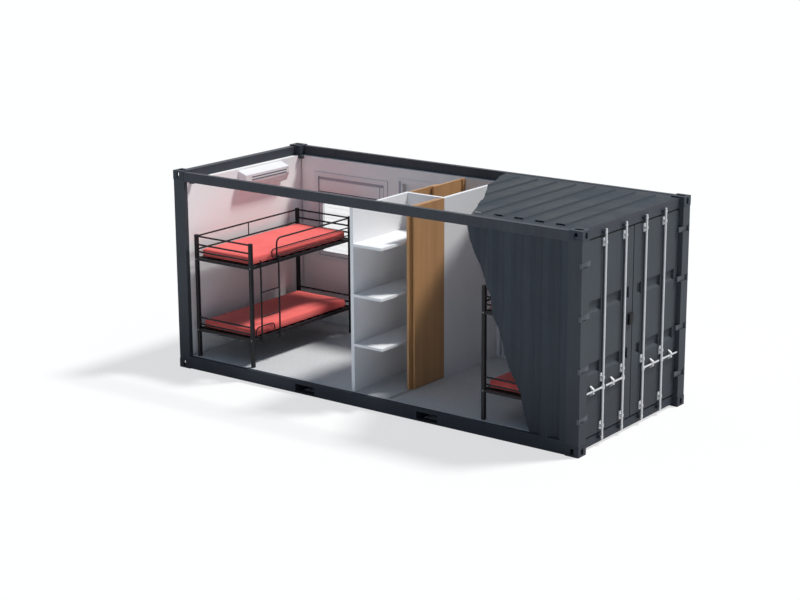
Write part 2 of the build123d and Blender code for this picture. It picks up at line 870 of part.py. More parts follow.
with BuildPart() as door_jambs:
    for x, inward in [(x, 1) for x in (left_doorway_x, right_doorway_x)] + [
        (x + doorway_width, -1) for x in (left_doorway_x, right_doorway_x)
    ]:
        with BuildSketch(Plane.XY.offset(floor_top)):
            with BuildLine():
                Polyline(
                    (x, frame_inner_y),
                    (x + inward * (jamb + stop_width), frame_inner_y),
                    (x + inward * (jamb + stop_width), stop_face),
                    (x + inward * jamb, stop_face),
                    (x + inward * jamb, frame_face),
                    (x, frame_face),
                    close=True,
                )
            make_face()
        extrude(amount=doorway_head - floor_top)
    # lower half of each hinge barrel, its flap and its pin
    for _, hinge_edge, side in room_doors:
        x = room_pin_x(hinge_edge, side)
        for level in room_hinge_levels:
            with BuildSketch(Plane.XY.offset(level - room_hinge_height / 2)):
                with Locations((x, room_pin_y)):
                    Circle(room_door_barrel)
                with Locations((x - side * room_flap_length / 2, frame_face + room_flap_thickness / 2)):
                    Rectangle(room_flap_length, room_flap_thickness)
            extrude(amount=room_hinge_height / 2)
            with BuildSketch(Plane.XY.offset(level)):
                with Locations((x, room_pin_y)):
                    Circle(room_door_pin)
            extrude(amount=room_hinge_height / 2)
door_jambs.part.label = "door_jambs"
export_step(door_jambs.part, "parts/door_jambs.step")

head_span = doorway_width - 2 * jamb
doorway_centres = [x + doorway_width / 2 for x in (left_doorway_x, right_doorway_x)]
with BuildPart() as doorway_crosspieces:
    with BuildSketch(Plane.XZ.offset(-frame_face)):
        with Locations([(x, doorway_head - jamb / 2) for x in doorway_centres]):
            Rectangle(head_span, jamb)
    extrude(amount=frame_face - stop_face)
    with BuildSketch(Plane.XZ.offset(-stop_face)):
        with Locations([(x, doorway_head - (jamb + stop_width) / 2) for x in doorway_centres]):
            Rectangle(head_span - 2 * stop_width, jamb + stop_width)
    extrude(amount=stop_face - frame_inner_y)
    with BuildSketch(Plane.XZ.offset(-sheet_face)):
        with Locations([(x, floor_top + threshold_height / 2) for x in doorway_centres]):
            Rectangle(head_span - 2 * stop_width, threshold_height)
    extrude(amount=sheet_face - back_lining_inner)
doorway_crosspieces.part.label = "doorway_crosspieces"
export_step(doorway_crosspieces.part, "parts/doorway_crosspieces.step")

room_leaf_height = room_leaf_top - room_leaf_base
for name, hinge_edge, side in room_doors:
    pin = room_pin_x(hinge_edge, side)
    leaf_start = hinge_edge + side * (jamb + room_door_gap)
    leaf_centre = leaf_start + side * room_leaf_width / 2
    with BuildPart() as room_door:
        with BuildSketch(Plane.XZ.offset(-frame_face)):
            with Locations((leaf_centre, room_leaf_base + room_leaf_height / 2)):
                Rectangle(room_leaf_width, room_leaf_height)
        extrude(amount=room_door_thickness)
        with BuildSketch(Plane.XZ.offset(-leaf_inner_y)):
            with Locations((leaf_centre, room_leaf_base + room_leaf_height / 2)):
                panel_width = room_leaf_width - 2 * room_panel_inset
                panel_height = room_leaf_height - 2 * room_panel_inset
                Rectangle(panel_width, panel_height)
                Rectangle(
                    panel_width - 8 * room_panel_groove,
                    panel_height - 8 * room_panel_groove,
                    mode=Mode.SUBTRACT,
                )
        extrude(amount=-room_panel_groove, mode=Mode.SUBTRACT)
        for level in room_hinge_levels:
            with BuildSketch(Plane.XY.offset(level + hinge_axial_gap)):
                with Locations((pin, room_pin_y)):
                    Circle(room_door_barrel)
                with Locations((pin + side * room_flap_length / 2, frame_face + room_flap_thickness / 2)):
                    Rectangle(room_flap_length, room_flap_thickness)
                with Locations((pin, room_pin_y)):
                    Circle(room_door_pin + hinge_bore_gap / 2, mode=Mode.SUBTRACT)
            extrude(amount=room_hinge_height / 2 - hinge_axial_gap)
    room_door.part.label = name + "_room_door"
    export_step(room_door.part, "parts/" + name + "_room_door.step")

    lever_x = leaf_start + side * (room_leaf_width - lever_inset)
    lever_centre_x = lever_x - side * (lever_length / 2 - lever_stem_radius)
    with BuildPart() as room_lever:
        for radius, reach in (
            (rose_radius, rose_thickness),
            (lever_stem_radius, lever_stand_off + lever_thickness),
        ):
            with BuildSketch(Plane.XZ.offset(-leaf_inner_y)):
                with Locations((lever_x, lever_z)):
                    Circle(radius)
            extrude(amount=reach)
        with BuildSketch(Plane.XZ.offset(-leaf_inner_y + lever_stand_off)):
            with Locations((lever_centre_x, lever_z)):
                Rectangle(lever_length, lever_height)
        extrude(amount=lever_thickness)
        with BuildSketch(Plane.XZ.offset(-frame_face)):
            with Locations((lever_x, lever_z)):
                Circle(rose_radius)
        extrude(amount=-outer_rose_thickness)
        with BuildSketch(Plane.XZ.offset(-frame_face - outer_rose_thickness)):
            with Locations((lever_centre_x, lever_z)):
                Rectangle(lever_length, lever_height)
        extrude(amount=-outer_lever_thickness)
    room_lever.part.label = name + "_room_lever"
    export_step(room_lever.part, "parts/" + name + "_room_lever.step")

# ---------------------------------------------------------------- cargo doors
leaf_width = leaf_edge - leaf_inner_edge
leaf_height = leaf_top - leaf_base
leaf_centre_y = (leaf_edge + leaf_inner_edge) / 2
leaf_centre_z = (leaf_top + leaf_base) / 2
bar_ys = {"inner": inner_bar_y, "outer": outer_bar_y}
flute_spans = [
    (leaf_inner_edge + leaf_stile + 4, inner_bar_y - panel_flute_margin),
    (inner_bar_y + panel_flute_margin, outer_bar_y - panel_flute_margin),
    (outer_bar_y + panel_flute_margin, leaf_edge - leaf_stile - 4),
]
keeper_levels = (keeper_inset + keeper_height / 2, height - keeper_inset - keeper_height / 2)
packing_start = pin_y - leaf_edge + 4
blade_end = packing_start + blade_overlap


def recess_outline(start, centre, width_over, depth, slope):
    """Trapezoid sunk into a face at x = start, as (x, across) points."""
    return [
        (start, centre - width_over / 2),
        (start, centre + width_over / 2),
        (start - depth, centre + width_over / 2 - slope),
        (start - depth, centre - width_over / 2 + slope),
    ]


for name, side in (("left", -1), ("right", 1)):
    # Pressed outer sheet inside a frame of stiles and rails, open to the inside
    with BuildPart() as cargo_door:
        with BuildSketch(Plane.YZ.offset(leaf_back)):
            with Locations((side * leaf_centre_y, leaf_centre_z)):
                Rectangle(leaf_width, leaf_height)
        extrude(amount=leaf_thickness)
        with BuildSketch(Plane.YZ.offset(leaf_back)):
            with Locations((side * leaf_centre_y, leaf_centre_z)):
                Rectangle(leaf_width - 2 * leaf_stile, leaf_height - 2 * leaf_stile)
        extrude(amount=leaf_thickness - leaf_sheet, mode=Mode.SUBTRACT)
        for start, end_wall, mode in (
            (leaf_face - leaf_sheet, leaf_sheet, Mode.ADD),
            (leaf_face, 0, Mode.SUBTRACT),
        ):
            for low, high in flute_spans:
                with BuildSketch(Plane.XZ.offset(-max(side * low, side * high) - end_wall)):
                    for level in panel_flute_levels:
                        with BuildLine():
                            Polyline(*recess_outline(
                                start, level, panel_flute_height, panel_flute_depth, panel_flute_slope
                            ), close=True)
                        make_face()
                extrude(amount=high - low + 2 * end_wall, mode=mode)
            with BuildSketch(Plane.XY.offset(leaf_base + leaf_stile)):
                for y in bar_ys.values():
                    with BuildLine():
                        Polyline(*recess_outline(
                            start, side * y, trough_width, trough_depth, trough_slope
                        ), close=True)
                    make_face()
            extrude(amount=leaf_height - 2 * leaf_stile, mode=mode)
    cargo_door.part.label = name + "_cargo_door"
    export_step(cargo_door.part, "parts/" + name + "_cargo_door.step")

    with BuildPart() as gasket:
        low_y = leaf_inner_edge - gasket_centre_reach
        high_y = leaf_edge + gasket_reach
        with BuildSketch(Plane.YZ.offset(leaf_face - gasket_set_back)):
            with Locations((side * (low_y + high_y) / 2, leaf_centre_z)):
                Rectangle(high_y - low_y, leaf_height + 2 * gasket_reach)
            with Locations((side * leaf_centre_y, leaf_centre_z)):
                Rectangle(leaf_width, leaf_height, mode=Mode.SUBTRACT)
        extrude(amount=-gasket_depth)
    gasket.part.label = name + "_door_gasket"
    export_step(gasket.part, "parts/" + name + "_door_gasket.step")

    # Hinge blades: a knuckle on the pin, a blade across the post, a packing block on the leaf
    with BuildPart() as fittings:
        for level in hinge_levels:
            with BuildSketch(Plane.XY.offset(level - hinge_height / 2)):
                with Locations((pin_x, side * pin_y)):
                    Circle(hinge_knuckle)
                blade_back = pin_x - blade_set_back
                with Locations((blade_back + blade_thickness / 2, side * (pin_y - blade_end / 2))):
                    Rectangle(blade_thickness, blade_end)
                with Locations(((blade_back + pin_x) / 2, side * pin_y)):
                    Rectangle(pin_x - blade_back, 2 * hinge_knuckle)
                with Locations(
                    (
                        (leaf_face + blade_back) / 2,
                        side * (pin_y - (packing_start + blade_end) / 2),
                    )
                ):
                    Rectangle(blade_back - leaf_face, blade_end - packing_start)
                with Locations((pin_x, side * pin_y)):
                    Circle(hinge_pin + hinge_bore_gap, mode=Mode.SUBTRACT)
            extrude(amount=hinge_height)
        # bar bearings and handle catches, welded to the leaf
        for y in bar_ys.values():
            for level in bearing_levels:
                with BuildSketch(Plane.XY.offset(level - bearing_height / 2)):
                    with Locations(((leaf_face + bar_x) / 2, side * y)):
                        Rectangle(
                            bar_x - leaf_face, 2 * (bar_radius + bearing_gap + bearing_wall)
                        )
                    with Locations((bar_x, side * y)):
                        Circle(bar_radius + bearing_gap + bearing_wall)
                        Circle(bar_radius + bearing_gap, mode=Mode.SUBTRACT)
                extrude(amount=bearing_height)
                with Locations((leaf_face + bearing_plate / 2, side * y, level)):
                    Box(bearing_plate, bearing_plate_width, bearing_plate_height)
            # two arms that come together just over and under the handle
            for up in (-1, 1):
                jaw = handle_z + up * (handle_height / 2 + running_gap)
                root = handle_z + up * catch_half_height
                with BuildSketch(Plane.XZ.offset(-side * (y + catch_offset) - catch_width / 2)):
                    with BuildLine():
                        Polyline(
                            (leaf_face, root),
                            (bar_x + bar_radius, jaw + up * catch_arm),
                            (bar_x + bar_radius, jaw),
                            (bar_x - handle_thickness, jaw),
                            (leaf_face, root - up * catch_arm),
                            close=True,
                        )
                    make_face()
                extrude(amount=catch_width)
    fittings.part.label = name + "_door_fittings"
    export_step(fittings.part, "parts/" + name + "_door_fittings.step")

    for place, y in bar_ys.items():
        with BuildPart() as bar:
            with Locations((bar_x, side * y, (bar_base + bar_top) / 2)):
                Cylinder(bar_radius, bar_top - bar_base)
            for level in keeper_levels:
                with BuildSketch(Plane.XY.offset(level - cam_height / 2)):
                    with Locations((bar_x, side * y)):
                        Circle(cam_radius)
                    with Locations((bar_x, side * (y + cam_nose - cam_nose_radius))):
                        Circle(cam_nose_radius)
                    make_hull()
                extrude(amount=cam_height)
            with Locations((bar_x, side * y, handle_z)):
                Cylinder(hub_radius, hub_height)
            with BuildSketch(Plane.YZ.offset(bar_x - handle_thickness / 2)):
                with BuildLine():
                    Polyline(
                        (side * y, handle_z - handle_height / 2 - handle_root_rise),
                        (side * (y + handle_root_length), handle_z - handle_height / 2),
                        (side * (y + handle_length), handle_z - handle_height / 2),
                        (side * (y + handle_length), handle_z + handle_height / 2),
                        (side * (y + handle_root_length), handle_z + handle_height / 2),
                        (side * y, handle_z + handle_height / 2 + handle_root_rise),
                        close=True,
                    )
                make_face()
            extrude(amount=handle_thickness)
        bar.part.label = name + "_" + place + "_lock_bar"
        export_step(bar.part, "parts/" + name + "_" + place + "_lock_bar.step")

with BuildPart() as hinge_lugs:
    for side in (-1, 1):
        for level in hinge_levels:
            lug_start = hinge_height / 2 + hinge_axial_gap
            shelf_start = hinge_height / 2 + hinge_shelf_gap
            for up in (-1, 1):
                with BuildSketch(Plane.XY.offset(level + up * lug_start)):
                    with Locations((pin_x, side * pin_y)):
                        Circle(hinge_knuckle)
                    with Locations(((door_post_face + pin_x) / 2, side * (pin_y - 1))):
                        Rectangle(pin_x - door_post_face, 2 * hinge_knuckle - 2)
                extrude(amount=up * hinge_lug_height)
                # a shelf closes the notch over and under the blade
                with BuildSketch(Plane.XY.offset(level + up * shelf_start)):
                    with Locations((
                        end_face - notch_depth / 2,
                        side * (door_post_inner + door_post_width / 2),
                    )):
                        Rectangle(notch_depth, door_post_width)
                extrude(amount=up * (hinge_notch / 2 - shelf_start))
            with Locations((pin_x, side * pin_y, level)):
                Cylinder(hinge_pin, 2 * lug_start)
hinge_lugs.part.label = "hinge_lugs"
export_step(hinge_lugs.part, "parts/hinge_lugs.step")

with BuildPart() as keepers:
    for level in keeper_levels:
        with BuildSketch(Plane.XY.offset(level - keeper_height / 2)):
            for y in (-outer_bar_y, -inner_bar_y, inner_bar_y, outer_bar_y):
                with Locations((header_face + (keeper_back + keeper_reach) / 2, y)):
                    Rectangle(keeper_back + keeper_reach, keeper_width)
                with Locations((header_face + keeper_back + keeper_reach / 2, y)):
                    Rectangle(keeper_reach, keeper_width - 2 * keeper_cheek, mode=Mode.SUBTRACT)
        extrude(amount=keeper_height)
keepers.part.label = "keepers"
export_step(keepers.part, "parts/keepers.step")

# ---------------------------------------------------------------- partitions and wardrobes
partition_height = partition_top - floor_top
cross_wall_back = cross_wall_y + partition
front_wall_y = -sheet_inner + front_lining
partition_spans = {
    "front_partition": (block_left, block_left + partition, front_wall_y + lining_seat, cross_wall_y),
    "cross_partition": (block_left, block_right, cross_wall_y, cross_wall_back),
    "back_partition": (block_right - partition, block_right, cross_wall_back, back_lining_inner),
}
for name, (x0, x1, y0, y1) in partition_spans.items():
    with BuildPart() as wall:
        with BuildSketch(Plane.XY.offset(floor_top)):
            with Locations(((x0 + x1) / 2, (y0 + y1) / 2)):
                Rectangle(x1 - x0, y1 - y0)
        extrude(amount=partition_height)
    wall.part.label = name
    export_step(wall.part, "parts/" + name + ".step")

shelf_front = front_wall_y + lining_seat
with BuildPart() as shelves:
    with BuildSketch(Plane.YZ.offset(block_left + partition)):
        with Locations([((shelf_front + cross_wall_y) / 2, z) for z in shelf_levels]):
            Rectangle(cross_wall_y - shelf_front, shelf_thickness)
    extrude(amount=shelf_reach)
shelves.part.label = "shelves"
export_step(shelves.part, "parts/shelves.step")

# Two leaves a wardrobe, each on its own floor rail. The right room's pair is pushed back, and the left
# one closes against an upright at the back wall.
right_leaf_x = block_right - 2 * wardrobe_leaf - wardrobe_leaf_gap
left_leaf_x = block_left + left_leaf_set_back
left_back_leaf_x = left_leaf_x + wardrobe_leaf + wardrobe_leaf_gap
wardrobe_post_y = back_lining_inner - wardrobe_post_width
wardrobe_leaves = {
    "right_wardrobe_inner_leaf": (
        right_leaf_x,
        cross_wall_y - running_gap - wardrobe_leaf_width - right_inner_leaf_shift,
    ),
    "right_wardrobe_outer_leaf": (
        right_leaf_x + wardrobe_leaf + wardrobe_leaf_gap,
        cross_wall_y - running_gap - wardrobe_leaf_width,
    ),
    "left_wardrobe_front_leaf": (left_leaf_x, cross_wall_back + running_gap),
    "left_wardrobe_back_leaf": (
        left_back_leaf_x,
        wardrobe_post_y - running_gap - wardrobe_leaf_width,
    ),
}
leaf_foot = floor_top + track_height + slide_seat
for name, (x, y) in wardrobe_leaves.items():
    with BuildPart() as leaf:
        with BuildSketch(Plane.XY.offset(leaf_foot)):
            with Locations((x + wardrobe_leaf / 2, y + wardrobe_leaf_width / 2)):
                Rectangle(wardrobe_leaf, wardrobe_leaf_width)
        extrude(amount=partition_top - leaf_foot)
    leaf.part.label = name
    export_step(leaf.part, "parts/" + name + ".step")

with BuildPart() as wardrobe_post:
    with BuildSketch(Plane.XY.offset(floor_top)):
        with Locations(
            (left_back_leaf_x + wardrobe_post_depth / 2, wardrobe_post_y + wardrobe_post_width / 2)
        ):
            Rectangle(wardrobe_post_depth, wardrobe_post_width)
    extrude(amount=partition_height)
wardrobe_post.part.label = "wardrobe_post"
export_step(wardrobe_post.part, "parts/wardrobe_post.step")

with BuildPart() as wardrobe_tracks:
    with BuildSketch(Plane.XY.offset(floor_top)):
        for x, y0, y1 in (
            (right_leaf_x, front_wall_y + lining_seat, cross_wall_y),
            (right_leaf_x + wardrobe_leaf + wardrobe_leaf_gap, front_wall_y + lining_seat, cross_wall_y),
            (left_leaf_x, cross_wall_back, back_lining_inner),
            (left_back_leaf_x, cross_wall_back, wardrobe_post_y),
        ):
            with Locations((x + wardrobe_leaf / 2, (y0 + y1) / 2)):
                Rectangle(track_width, y1 - y0)
    extrude(amount=track_height)
wardrobe_tracks.part.label = "wardrobe_tracks"
export_step(wardrobe_tracks.part, "parts/wardrobe_tracks.step")

# ---------------------------------------------------------------- bunk beds
bunk_back_y = bunk_front_y + bunk_length - bunk_end_drop
bunks = {
    "left": (left_bunk_x, left_bunk_x + bunk_width),
    "right": (right_bunk_x, right_bunk_x + bunk_width),
}
deck_levels = {"upper": upper_deck_z, "lower": lower_deck_z}
half_post = post_size / 2
half_deck = deck_tube / 2
bed_centre_y = (bunk_front_y + bunk_back_y) / 2
bed_inner_length = bunk_back_y - bunk_front_y - post_size

with BuildPart() as bunk_posts:
    with BuildSketch(Plane.XY.offset(floor_top)):
        for wall_x, room_x in bunks.values():
            with Locations(
                [(x, y) for x in (wall_x, room_x) for y in (bunk_front_y, bunk_back_y)]
            ):
                Rectangle(post_size, post_size)
    extrude(amount=bunk_top - floor_top)
bunk_posts.part.label = "bunk_posts"
export_step(bunk_posts.part, "parts/bunk_posts.step")

slat_pitch_y = bed_inner_length / slat_count
with BuildPart() as bunk_decks:
    for wall_x, room_x in bunks.values():
        for z in deck_levels.values():
            with BuildSketch(Plane.XZ.offset(-bunk_back_y + half_post)):
                with Locations((wall_x, z), (room_x, z)):
                    Rectangle(deck_tube, deck_tube)
            extrude(amount=bed_inner_length)
            with BuildSketch(Plane.XY.offset(z + half_deck)):
                for i in range(slat_count):
                    y = bunk_front_y + half_post + (i + 0.5) * slat_pitch_y
                    with Locations(((wall_x + room_x) / 2, y)):
                        Rectangle(bunk_width, slat_pitch_y / 2)
            extrude(amount=-deck_tube / 3)
bunk_decks.part.label = "bunk_decks"
export_step(bunk_decks.part, "parts/bunk_decks.step")

with BuildPart() as bunk_end_rails:
    for wall_x, room_x in bunks.values():
        low_x = min(wall_x, room_x) + half_post
        with BuildSketch(Plane.YZ.offset(low_x)):
            for y in (bunk_front_y, bunk_back_y):
                with Locations([(y, z) for z in upper_end_rails + lower_end_rails]):
                    Circle(rail_tube / 2)
                with Locations([(y, z) for z in deck_levels.values()]):
                    Rectangle(deck_tube, deck_tube)
        extrude(amount=bunk_width - post_size)
bunk_end_rails.part.label = "bunk_end_rails"
export_step(bunk_end_rails.part, "parts/bunk_end_rails.step")



def mitred_bends(corners, radius):
    """Points of a bent tube: each corner becomes three short mitred lengths round an arc."""
    points = [Vector(*corners[0])]
    for before, corner, after in zip(corners, corners[1:], corners[2:]):
        back = (Vector(*before) - Vector(*corner)).normalized()
        ahead = (Vector(*after) - Vector(*corner)).normalized()
        centre = Vector(*corner) + (back + ahead) * radius
        for angle in (0, 30, 60, 90):
            turn = radians(angle)
            points.append(centre - ahead * (radius * cos(turn)) - back * (radius * sin(turn)))
    return points + [Vector(*corners[-1])]


# Wall side: two straight rails and a strut. Room side: a rail that turns down to the deck, a mid rail
# with a closed loop at its end, and a low hoop by the head of the lower bed.
wall_rail_z = upper_end_rails[0] + wall_rail_rise
with BuildPart() as bunk_guards:
    for wall_x, room_x in bunks.values():
        with BuildSketch(Plane.XZ.offset(-bunk_back_y + half_post)):
            with Locations((wall_x, wall_rail_z), (wall_x, upper_end_rails[2])):
                Circle(rail_tube / 2)
        extrude(amount=bed_inner_length)
        with Locations((wall_x, bed_centre_y, (wall_rail_z + upper_end_rails[2]) / 2)):
            Cylinder(rail_tube / 3, upper_end_rails[2] - wall_rail_z)
        # top rail, its bend, and the leg down to the deck edge
        with BuildLine():
            Polyline(*mitred_bends(
                [
                    (room_x, bunk_back_y - half_post, upper_end_rails[2]),
                    (room_x, ladder_far_y, upper_end_rails[2]),
                    (room_x, ladder_far_y, upper_deck_z + half_deck),
                ],
                guard_bend,
            ))
        with BuildSketch(
            Plane(
                origin=(room_x, bunk_back_y - half_post, upper_end_rails[2]),
                x_dir=(1, 0, 0),
                z_dir=(0, -1, 0),
            )
        ):
            Circle(rail_tube / 2)
        sweep(transition=Transition.RIGHT)
        # mid rails, a little slimmer than the leg they are welded to
        with BuildSketch(Plane.XZ.offset(-bunk_back_y + half_post)):
            with Locations((room_x, guard_rail_z), (room_x, guard_rail_z - guard_loop[1])):
                Circle(rail_tube / 2 - 3)
        extrude(amount=bunk_back_y - half_post - ladder_far_y)
        loop_y = ladder_far_y - guard_loop[0]
        loop_z = guard_rail_z - guard_loop[1]
        with BuildLine():
            Polyline(*mitred_bends(
                [
                    (room_x, ladder_far_y, guard_rail_z),
                    (room_x, loop_y, guard_rail_z),
                    (room_x, loop_y, loop_z),
                    (room_x, ladder_far_y, loop_z),
                ],
                guard_loop_bend,
            ))
        with BuildSketch(
            Plane(origin=(room_x, ladder_far_y, guard_rail_z), x_dir=(1, 0, 0), z_dir=(0, -1, 0))
        ):
            Circle(rail_tube / 2 - 4)
        sweep(transition=Transition.RIGHT)
        hoop_foot = lower_deck_z + half_deck
        with BuildLine():
            Polyline(*mitred_bends(
                [
                    (room_x, hoop_near_y, hoop_foot),
                    (room_x, hoop_near_y, hoop_top),
                    (room_x, hoop_far_y, hoop_top),
                    (room_x, hoop_far_y, hoop_foot),
                ],
                hoop_bend,
            ))
        with BuildSketch(Plane.XY.offset(hoop_foot)):
            with Locations((room_x, hoop_near_y)):
                Circle(rail_tube / 2 - 3)
        sweep(transition=Transition.RIGHT)
bunk_guards.part.label = "bunk_guards"
export_step(bunk_guards.part, "parts/bunk_guards.step")

# Hooked on the outside of both deck rails
with BuildPart() as bunk_ladders:
    for _, room_x in bunks.values():
        ladder_x = room_x + half_deck + rail_tube / 2
        with BuildSketch(Plane.XY.offset(ladder_foot)):
            with Locations((ladder_x, ladder_near_y), (ladder_x, ladder_far_y)):
                Circle(rail_tube / 2)
        extrude(amount=ladder_head - ladder_foot)
        with BuildSketch(Plane.XZ.offset(-ladder_far_y)):
            with Locations([(ladder_x, z) for z in rung_levels]):
                Circle(rail_tube / 2 - 2)
        extrude(amount=ladder_far_y - ladder_near_y)
bunk_ladders.part.label = "bunk_ladders"
export_step(bunk_ladders.part, "parts/bunk_ladders.step")

for place, z in deck_levels.items():
    with BuildPart() as mattresses:
        with BuildSketch(Plane.XY.offset(z + half_deck + slide_seat)):
            with Locations([(sum(xs) / 2, bed_centre_y) for xs in bunks.values()]):
                Rectangle(mattress_width, bed_inner_length - 2 * mattress_margin)
        extrude(amount=mattress_thickness)
    mattresses.part.label = place + "_mattresses"
    export_step(mattresses.part, "parts/" + place + "_mattresses.step")

# ---------------------------------------------------------------- air conditioner
with BuildPart() as air_conditioner:
    with BuildSketch(Plane.XZ.offset(-aircon_centre_y - aircon_width / 2)):
        with BuildLine():
            Polyline(
                (blind_lining_inner, aircon_top),
                (blind_lining_inner + aircon_depth, aircon_top - aircon_slope),
                (blind_lining_inner + aircon_depth, aircon_top - aircon_height + aircon_chin),
                (blind_lining_inner + aircon_chin_depth, aircon_top - aircon_height),
                (blind_lining_inner, aircon_top - aircon_height),
                close=True,
            )
        make_face()
    extrude(amount=aircon_width)
air_conditioner.part.label = "air_conditioner"
export_step(air_conditioner.part, "parts/air_conditioner.step")
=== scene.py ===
import math

import bpy
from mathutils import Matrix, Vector


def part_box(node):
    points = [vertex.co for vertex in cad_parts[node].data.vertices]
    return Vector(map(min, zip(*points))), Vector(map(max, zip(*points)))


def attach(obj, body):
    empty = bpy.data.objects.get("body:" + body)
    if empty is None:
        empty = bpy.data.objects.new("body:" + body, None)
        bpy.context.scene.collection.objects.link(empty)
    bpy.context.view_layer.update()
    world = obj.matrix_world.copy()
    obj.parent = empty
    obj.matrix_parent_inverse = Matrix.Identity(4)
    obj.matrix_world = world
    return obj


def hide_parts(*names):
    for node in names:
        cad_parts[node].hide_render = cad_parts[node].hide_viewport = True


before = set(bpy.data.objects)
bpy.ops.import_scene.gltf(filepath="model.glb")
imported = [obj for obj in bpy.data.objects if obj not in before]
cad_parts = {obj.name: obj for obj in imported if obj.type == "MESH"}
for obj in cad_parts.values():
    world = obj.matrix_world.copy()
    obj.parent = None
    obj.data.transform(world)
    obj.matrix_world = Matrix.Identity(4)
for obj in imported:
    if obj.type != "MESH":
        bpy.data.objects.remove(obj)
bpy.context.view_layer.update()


# ------------------------------------------------------------------ castings, posts and rails
# Cast corner blocks welded to folded posts and rails, all of structural steel.
# They are sprayed in one satin anthracite paint, a little dulled and dusty on top.
class Shade:
    """One socket of a finish. Sums on it add Math nodes, and add() brings any other node."""

    def __init__(self, tree, socket=None):
        self.tree = tree
        self.socket = socket

    def add(self, kind, settings=None, sockets=None, output=0):
        node = self.tree.nodes.new(kind)
        for name, value in (settings or {}).items():
            if name == "stops":
                for stop, (place, tone) in zip(node.color_ramp.elements, value):
                    stop.position = place
                    stop.color = (*tone, 1)
            else:
                setattr(node, name, value)
        for name, value in (sockets or {}).items():
            if isinstance(value, Shade):
                self.tree.links.new(value.socket, node.inputs[name])
            else:
                node.inputs[name].default_value = value
        return Shade(self.tree, node.outputs[output])

    def sum(self, operation, first, second=0.0):
        return self.add("ShaderNodeMath", {"operation": operation}, {0: first, 1: second})

    def __add__(self, other):
        return self.sum("ADD", self, other)

    __radd__ = __add__

    def __sub__(self, other):
        return self.sum("SUBTRACT", self, other)

    def __rsub__(self, other):
        return self.sum("SUBTRACT", other, self)

    def __mul__(self, other):
        return self.sum("MULTIPLY", self, other)

    __rmul__ = __mul__

    def step(self, low, high):
        """0 below low, 1 above high, smooth between."""
        return self.add(
            "ShaderNodeMapRange",
            {"interpolation_type": "SMOOTHSTEP"},
            {"Value": self, "From Min": low, "From Max": high},
        )

    def between(self, low, high):
        """This value as a mix of two colours."""
        return self.add(
            "ShaderNodeMix",
            {"data_type": "RGBA"},
            {
                0: self,
                6: low if isinstance(low, Shade) else (*low, 1),
                7: high if isinstance(high, Shade) else (*high, 1),
            },
            output=2,
        )

    def place(self, stretch=(1, 1, 1)):
        """A point on the piece, in metres, stretched along X, Y and Z."""
        coordinates = self.add("ShaderNodeTexCoord", output="Object")
        return self.add("ShaderNodeMapping", None, {"Vector": coordinates, "Scale": stretch})

    def noise(self, place, scale, detail=3.0, roughness=0.5):
        return self.add(
            "ShaderNodeTexNoise",
            None,
            {"Vector": place, "Scale": scale, "Detail": detail, "Roughness": roughness},
        )

    def part_of(self, vector, letter):
        return self.add("ShaderNodeSeparateXYZ", None, {"Vector": vector}, output=letter)

    def axis(self, letter):
        """The X, Y or Z of the point on the piece."""
        return self.part_of(self.add("ShaderNodeTexCoord", output="Object"), letter)

    def facing(self, letter):
        """The X, Y or Z of the direction the surface faces."""
        return self.part_of(self.add("ShaderNodeNewGeometry", output="Normal"), letter)


def new_finish(name):
    """An empty finish: the material, a Shade to build with, and its surface node."""
    material = bpy.data.materials.new(name)
    material.use_nodes = True
    tree = material.node_tree
    return material, Shade(tree), tree.nodes["Principled BSDF"]


def link(shade, surface, socket):
    shade.tree.links.new(shade.socket, surface.inputs[socket])


def bump(shade, surface, height, distance, strength=1.0):
    """Height in 0 to 1, distance in metres."""
    normal = shade.add(
        "ShaderNodeBump",
        None,
        {"Height": height, "Distance": distance, "Strength": strength},
    )
    link(normal, surface, "Normal")


def give(material, *nodes):
    for node in nodes:
        for material_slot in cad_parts[node].material_slots:
            material_slot.material = material


def steel_paint(name, tone, lighter, dusty):
    """Satin paint: clouded, streaked downwards, darker towards the bottom, and dust on what faces up.
    """
    material, shade, surface = new_finish(name)
    place = shade.place()
    clouds = shade.noise(place, 1.7, 4.0, 0.55)
    mottle = shade.noise(place, 38.0, 2.0)
    streaks = shade.noise(shade.place((9, 9, 0.7)), 3.0, 3.0)
    worn = (clouds * 0.6 + streaks * 0.4).step(0.35, 0.72)
    colour = worn.between(tone, lighter)
    height = shade.axis("Z")
    # The paint grows darker towards the bottom, by height alone.
    darker_low = (1 - height.step(0.1, 1.3)) * (0.35 + clouds * 0.3)
    colour = darker_low.between(colour, (tone[0] * 0.45, tone[1] * 0.45, tone[2] * 0.5))
    dust = shade.facing("Z").step(0.55, 0.95) * clouds.step(0.3, 0.7) * 0.35
    link(dust.between(colour, dusty), surface, "Base Color")
    link(0.42 + worn * 0.10 + mottle * 0.10 + dust * 0.3, surface, "Roughness")
    surface.inputs["Specular IOR Level"].default_value = 0.12
    bump(shade, surface, mottle, 0.00035)
    return material


